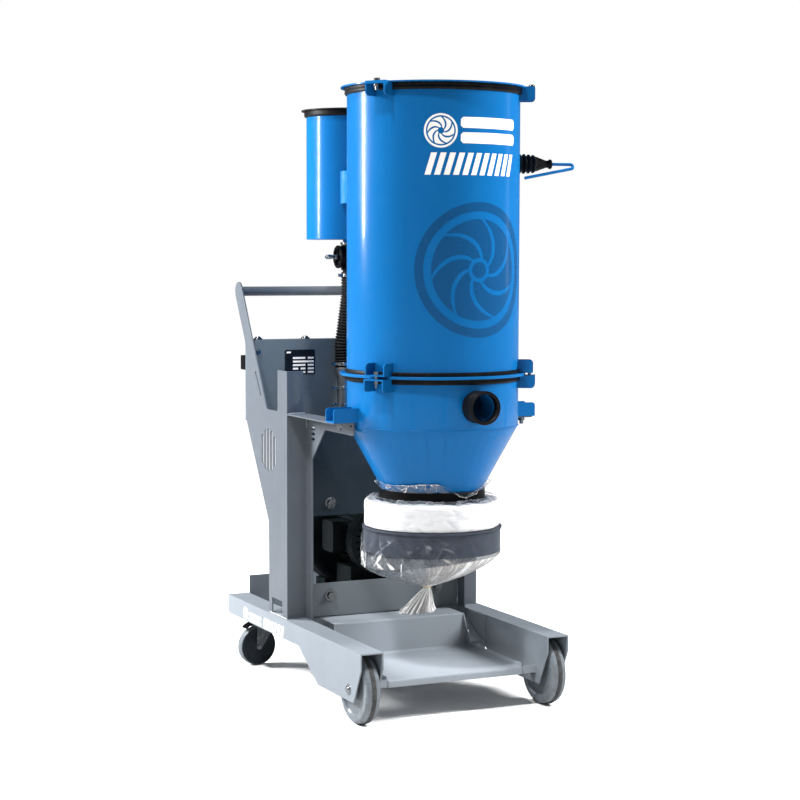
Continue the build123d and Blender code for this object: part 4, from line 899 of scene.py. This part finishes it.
def wrap(u, v, centre_angle, centre_height, lift=0.2):
    """A flat decal point, in millimetres, laid on the drum's wall."""
    angle = centre_angle + u / DRUM_R
    radius = DRUM_R + lift
    return place(radius * math.cos(angle), DRUM_Y + radius * math.sin(angle), centre_height + v)


def on_rail(u, v, lift=0.2):
    """A flat decal point laid on the left rail's outer web, reading from the rear to the front."""
    return place(-RAIL_WEB - lift, -u, v)


def decal(name, shapes, lay, material, rows=1):
    """Flat shapes laid on a surface, each a pair of matching edges with rows of quads between."""
    points, faces = [], []
    for first, second in shapes:
        count = len(first)
        for row in range(rows + 1):
            share = row / rows
            start = len(points)
            points += [lay(a[0] + (b[0] - a[0]) * share, a[1] + (b[1] - a[1]) * share)
                       for a, b in zip(first, second)]
            if row:
                faces += [(start + i, start + i + 1, start + i + 1 - count, start + i - count)
                          for i in range(count - 1)]
    sticker = make_mesh(name, points, faces, material)
    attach(sticker, "machine")
    return sticker


def ring_shape(radius, width, cx=0.0, cy=0.0, count=96):
    """Two circles that bound a ring."""
    inner, outer = [], []
    for k in range(count + 1):
        angle = 2 * math.pi * k / count
        for edge, size in ((inner, radius - width), (outer, radius)):
            edge.append((cx + size * math.cos(angle), cy + size * math.sin(angle)))
    return inner, outer


def blade_shapes(hub, tip, blades, cx=0.0, cy=0.0, fill=0.72, strips=8):
    """Curved fan blades that fill a disc, with narrow swept gaps between them."""
    shapes = []
    for blade in range(blades):
        edges = []
        for strip in range(strips + 1):
            edge = []
            for k in range(25):
                share = k / 24
                radius = hub + (tip - hub) * share
                half = math.pi / blades * (fill + 0.20 * share ** 2)
                angle = 2 * math.pi * blade / blades + 1.05 * share + half * (2 * strip / strips - 1)
                edge.append((cx + radius * math.cos(angle), cy + radius * math.sin(angle)))
            edges.append(edge)
        shapes += list(zip(edges, edges[1:]))
    return shapes


def bar_shape(left, right, low, high):
    """A bar with rounded ends."""
    count = 30
    top, bottom = [], []
    corner = (high - low) * 0.22
    for k in range(count + 1):
        x = left + (right - left) * k / count
        inset = 0.0
        for edge in (x - left, right - x):
            if edge < corner:
                inset = corner - math.sqrt(max(0.0, corner**2 - (corner - edge) ** 2))
        bottom.append((x, low + inset))
        top.append((x, high - inset))
    return bottom, top


def slanted_strokes(left, right, low, high, count, lean=0.30):
    """A row of leaning strokes, each about as wide as the gap beside it."""
    pitch = (right - left - lean * (high - low)) / count
    shapes = []
    for k in range(count):
        foot = left + pitch * k
        first = [(foot + lean * (high - low) * n / 6, low + (high - low) * n / 6) for n in range(7)]
        shapes.append((first, [(x + pitch * 0.62, y) for x, y in first]))
    return shapes


def make_decals():
    """Large tone-on-tone fan emblem, and white markings of a small fan, bars and strokes."""
    def on_drum(u, v):
        return wrap(u, v, EMBLEM_AT, EMBLEM_Z)

    emblem = [ring_shape(188, 25)] + blade_shapes(34, 141, 7) + [ring_shape(22, 22)]
    decal("drum_emblem", emblem, on_drum, DEEP_BLUE, rows=3)

    def upper(u, v):
        return wrap(u, v, MARKING_AT, MARKING_Z)

    small = [ring_shape(47, 5.5, -111, 48)] + blade_shapes(9, 37, 7, -111, 48, 0.62)
    bars = [bar_shape(-55, 150, 56, 86), bar_shape(-55, 150, 14, 44)]
    bars += slanted_strokes(-156, 153, -73, -12, 11)
    decal("drum_marking", small + bars, upper, WHITE, rows=8)

    rail = [ring_shape(20, 2.6, -440, 178)] + blade_shapes(4, 15.5, 5, -440, 178, 0.62)
    rail += [bar_shape(-410, -306, 176, 187), bar_shape(-410, -306, 159, 170)]
    rail += slanted_strokes(-288, -104, 158, 191, 6)
    decal("rail_marking", rail, on_rail, WHITE)


def make_plate_print():
    """Blank white fields printed on the black rating plate."""
    low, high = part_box("data_plate")
    face = low.y - 0.0002
    rows = [((0.26, 0.68), (0.76, 0.96)), ((0.26, 0.96),), ((0.26, 0.68), (0.76, 0.96)),
            ((0.26, 0.44), (0.52, 0.68), (0.76, 0.96)), ((0.26, 0.68), (0.76, 0.96))]
    shapes = []
    for index, fields in enumerate(rows):
        centre = 0.66 - 0.145 * index
        for start, end in fields:
            shapes.append((((start, centre - 0.038), (end, centre - 0.038)),
                           ((start, centre + 0.038), (end, centre + 0.038))))
    shapes.append((((0.05, 0.86), (0.19, 0.86)), ((0.05, 0.93), (0.19, 0.93))))

    def lay(u, v):
        return Vector((low.x + (high.x - low.x) * u, face, low.z + (high.z - low.z) * v))

    decal("plate_fields", shapes, lay, WHITE)


# ======== welds and small parts ========

def make_welds():
    """Weld beads of the uprights, the arms, the handle's ends and the drum's lugs."""
    for side, sign in (("left", -1), ("right", 1)):
        outer = sign * (SIDE_X + 0.6)
        runs = {
            "foot": straight((outer, 112, RAIL_TOP + 0.6), (outer, 256, RAIL_TOP + 0.6)),
            "flange": straight((sign * 262, UPRIGHT_FRONT, RAIL_TOP + 0.6),
                               (sign * 318, UPRIGHT_FRONT, RAIL_TOP + 0.6)),
            "arm": straight((sign * ARM_INNER, UPRIGHT_FRONT, 240), (sign * ARM_INNER, UPRIGHT_FRONT, 780)),
            "shelf": straight((sign * 262, UPRIGHT_FRONT, SHELF_TOP), (sign * 316, UPRIGHT_FRONT, SHELF_TOP)),
            "eye": [place(sign * (SIDE_X - 4.4), EYE_Y + 15.4 * math.cos(a), EYE_Z + 15.4 * math.sin(a))
                    for a in [2 * math.pi * k / 60 for k in range(61)]],
        }
        for run, line in runs.items():
            finish = WELD if run in ("foot", "shelf") else FRAME_SHADED_GREY
            bead = tube(f"{side}_weld_{run}", line, ripple(2.0), finish, segments=8)
            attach(bead, "machine")
        for index, angle in enumerate((-1, 1)):
            edge = DRUM_Y + angle * 29.4
            reach = math.sqrt((DRUM_R + 0.5) ** 2 - (angle * 29.4) ** 2)
            line = straight((sign * reach, edge, 838), (sign * reach, edge, 866))
            bead = tube(f"{side}_weld_lug_{index}", line, ripple(1.6), BLUE, segments=8)
            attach(bead, "machine")


def make_drum_seams():
    """Rings where the cone meets the drum and the neck, and the rolled shell's seam."""
    for name, radius, height, size in (("cone", DRUM_R - 0.6, CONE_TOP, 1.8),
                                       ("neck", NECK_R - 0.2, NECK_TOP, 1.4)):
        line = []
        for k in range(721):
            angle = 2 * math.pi * k / 720
            line.append(place(radius * math.cos(angle), DRUM_Y + radius * math.sin(angle), height))
        bead = tube(f"seam_{name}", line, size / 1000, BLUE, segments=8, capped=False)
        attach(bead, "machine")
    reach = DRUM_R - 0.3
    x, y = reach * math.cos(SEAM_AT), DRUM_Y + reach * math.sin(SEAM_AT)
    line = straight((x, y, 990), (x, y, FLANGE_TOP), 1.6)
    bead = tube("seam_shell", line, ripple(1.5, 0.006), BLUE, segments=8)
    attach(bead, "machine")


def make_treads():
    """Worn running band round each front wheel."""
    for name in ("left_front_wheel", "right_front_wheel"):
        low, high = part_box(name)
        centre = (low + high) / 2
        radius = (high.z - low.z) / 2 * 1000
        outline = [(radius - 1.4, -8), (radius - 0.05, -6), (radius + 0.25, 0), (radius - 0.05, 6),
                   (radius - 1.4, 8)]
        sideways = along_frame(centre, (1, 0, 0))
        band = lathe(f"{name}_tread", outline, sideways, TREAD, segments=128)
        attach(band, name)


def make_door_seal():
    """Black sealing strip round the edge of the cabinet's rear door."""
    low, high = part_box("cabinet_door")
    x0, x1 = low.x + 0.0006, place(311.4, 0, 0).x
    z0, z1 = low.z + 0.0006, high.z - 0.0006
    y = place(0, 449.2, 0).y
    corners = [Vector((x0, y, z0)), Vector((x0, y, z1)), Vector((x1, y, z1)), Vector((x1, y, z0))]
    for index in range(4):
        strip = tube(f"door_seal_{index}", [corners[index], corners[(index + 1) % 4]], 0.0011,
                     RUBBER, segments=8)
        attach(strip, "door")


# ======== stage ========

def add_lamp(name, kind, spot, aim, energy, diffuse=True, glossy=True, size=(1.0, 1.0)):
    """A lamp at a spot, facing a point, both in metres from the floor under the cart's middle."""
    lamp = bpy.data.lights.new(name, kind)
    lamp.energy = energy
    if kind == "AREA":
        lamp.shape = "RECTANGLE"
        lamp.size, lamp.size_y = size
    else:
        lamp.angle = math.radians(5)
    holder = bpy.data.objects.new(name, lamp)
    base = place(0, 0, 0)
    holder.location = base + Vector(spot)
    holder.rotation_euler = (Vector(aim) - Vector(spot)).to_track_quat("-Z", "Y").to_euler()
    holder.visible_diffuse = diffuse
    holder.visible_glossy = glossy
    bpy.context.scene.collection.objects.link(holder)


def make_lamps():
    """Overhead key from the left, soft light on both sides, and two tall strips for the gloss."""
    heart = (0, -0.2, 1.0)
    add_lamp("key", "SUN", (-2.3, -1.4, 6.0), heart, 3.3)
    add_lamp("left_side", "AREA", (-2.9, 2.4, 2.4), heart, 490, glossy=False, size=(1.2, 1.6))
    add_lamp("right_side", "AREA", (3.4, -1.3, 3.0), heart, 380, glossy=False, size=(1.2, 1.6))
    add_lamp("left_strip", "AREA", (-1.81, 1.11, 2.02), (-0.2, -0.1, 1.7), 75,
             diffuse=False, size=(0.16, 1.3))
    add_lamp("right_strip", "AREA", (3.13, -0.41, 1.86), (0.1, -0.4, 1.7), 2.2,
             diffuse=False, size=(0.24, 1.4))


def make_stage():
    """Plain pale floor and a white room that lights the scene softly."""
    floor = bpy.data.meshes.new("floor")
    half = 30
    corners = [(-half, -half, 0), (half, -half, 0), (half, half, 0), (-half, half, 0)]
    floor.from_pydata(corners, [], [(0, 1, 2, 3)])
    pale = Shader("floor_pale", Roughness=0.7, Specular_IOR_Level=0.2)
    patchy = pale.ramp(pale.noise(0.8, 3), (0.3, (0.90, 0.90, 0.90)), (0.7, (0.92, 0.92, 0.92)))
    path = pale.add("ShaderNodeLightPath")
    unseen = pale.mix(path.outputs["Is Glossy Ray"], (0.62, 0.62, 0.62), (0.30, 0.30, 0.30))
    pale.colour(pale.mix(path.outputs["Is Camera Ray"], unseen, patchy))
    floor.materials.append(pale.material)
    ground = bpy.data.objects.new("floor", floor)
    bpy.context.scene.collection.objects.link(ground)

    world = bpy.data.worlds.new("studio")
    bpy.context.scene.world = world
    world.use_nodes = True
    sky = world.node_tree.nodes["Background"]
    nodes, links = world.node_tree.nodes, world.node_tree.links
    path = nodes.new("ShaderNodeLightPath")
    strength = None
    for output, plain, seen in (("Is Glossy Ray", 0.34, 0.09), ("Is Camera Ray", None, 1.0)):
        mix = nodes.new("ShaderNodeMix")
        links.new(path.outputs[output], mix.inputs["Factor"])
        mix.inputs["B"].default_value = seen
        if strength is None:
            mix.inputs["A"].default_value = plain
        else:
            links.new(strength, mix.inputs["A"])
        strength = mix.outputs["Result"]
    links.new(strength, sky.inputs["Strength"])
    sky.inputs["Color"].default_value = (1.0, 1.0, 1.0, 1.0)
    bpy.context.scene.view_settings.view_transform = "Standard"


def make_camera():
    """Camera in front of the machine and to its left, at about chest height."""
    yaw, pitch, roll = (math.radians(a) for a in (-25.336, -4.35, 0.15))
    forward = Vector((-math.sin(yaw) * math.cos(pitch), math.cos(yaw) * math.cos(pitch), math.sin(pitch)))
    right = Vector((math.cos(yaw), math.sin(yaw), 0))
    up = right.cross(forward)
    tilted_right = right * math.cos(roll) + up * math.sin(roll)
    tilted_up = up * math.cos(roll) - right * math.sin(roll)
    turn = Matrix((tilted_right, tilted_up, -forward)).transposed().to_4x4()
    lens = bpy.data.cameras.new("camera")
    lens.sensor_width = 36
    lens.lens = 87.11
    lens.clip_end = 200
    eye = bpy.data.objects.new("camera", lens)
    eye.matrix_world = Matrix.Translation(place(-2484.6, -5249.4, 1317.4)) @ turn
    bpy.context.scene.collection.objects.link(eye)
    bpy.context.scene.camera = eye


make_hose()
make_spring()
make_boot()
bag = make_bag()
tail = make_tail()
frill = make_frill()
collar = make_collar()
make_pack()
make_tie()
make_decals()
make_plate_print()
make_welds()
make_drum_seams()
make_treads()
make_door_seal()
make_stage()
make_lamps()
make_camera()
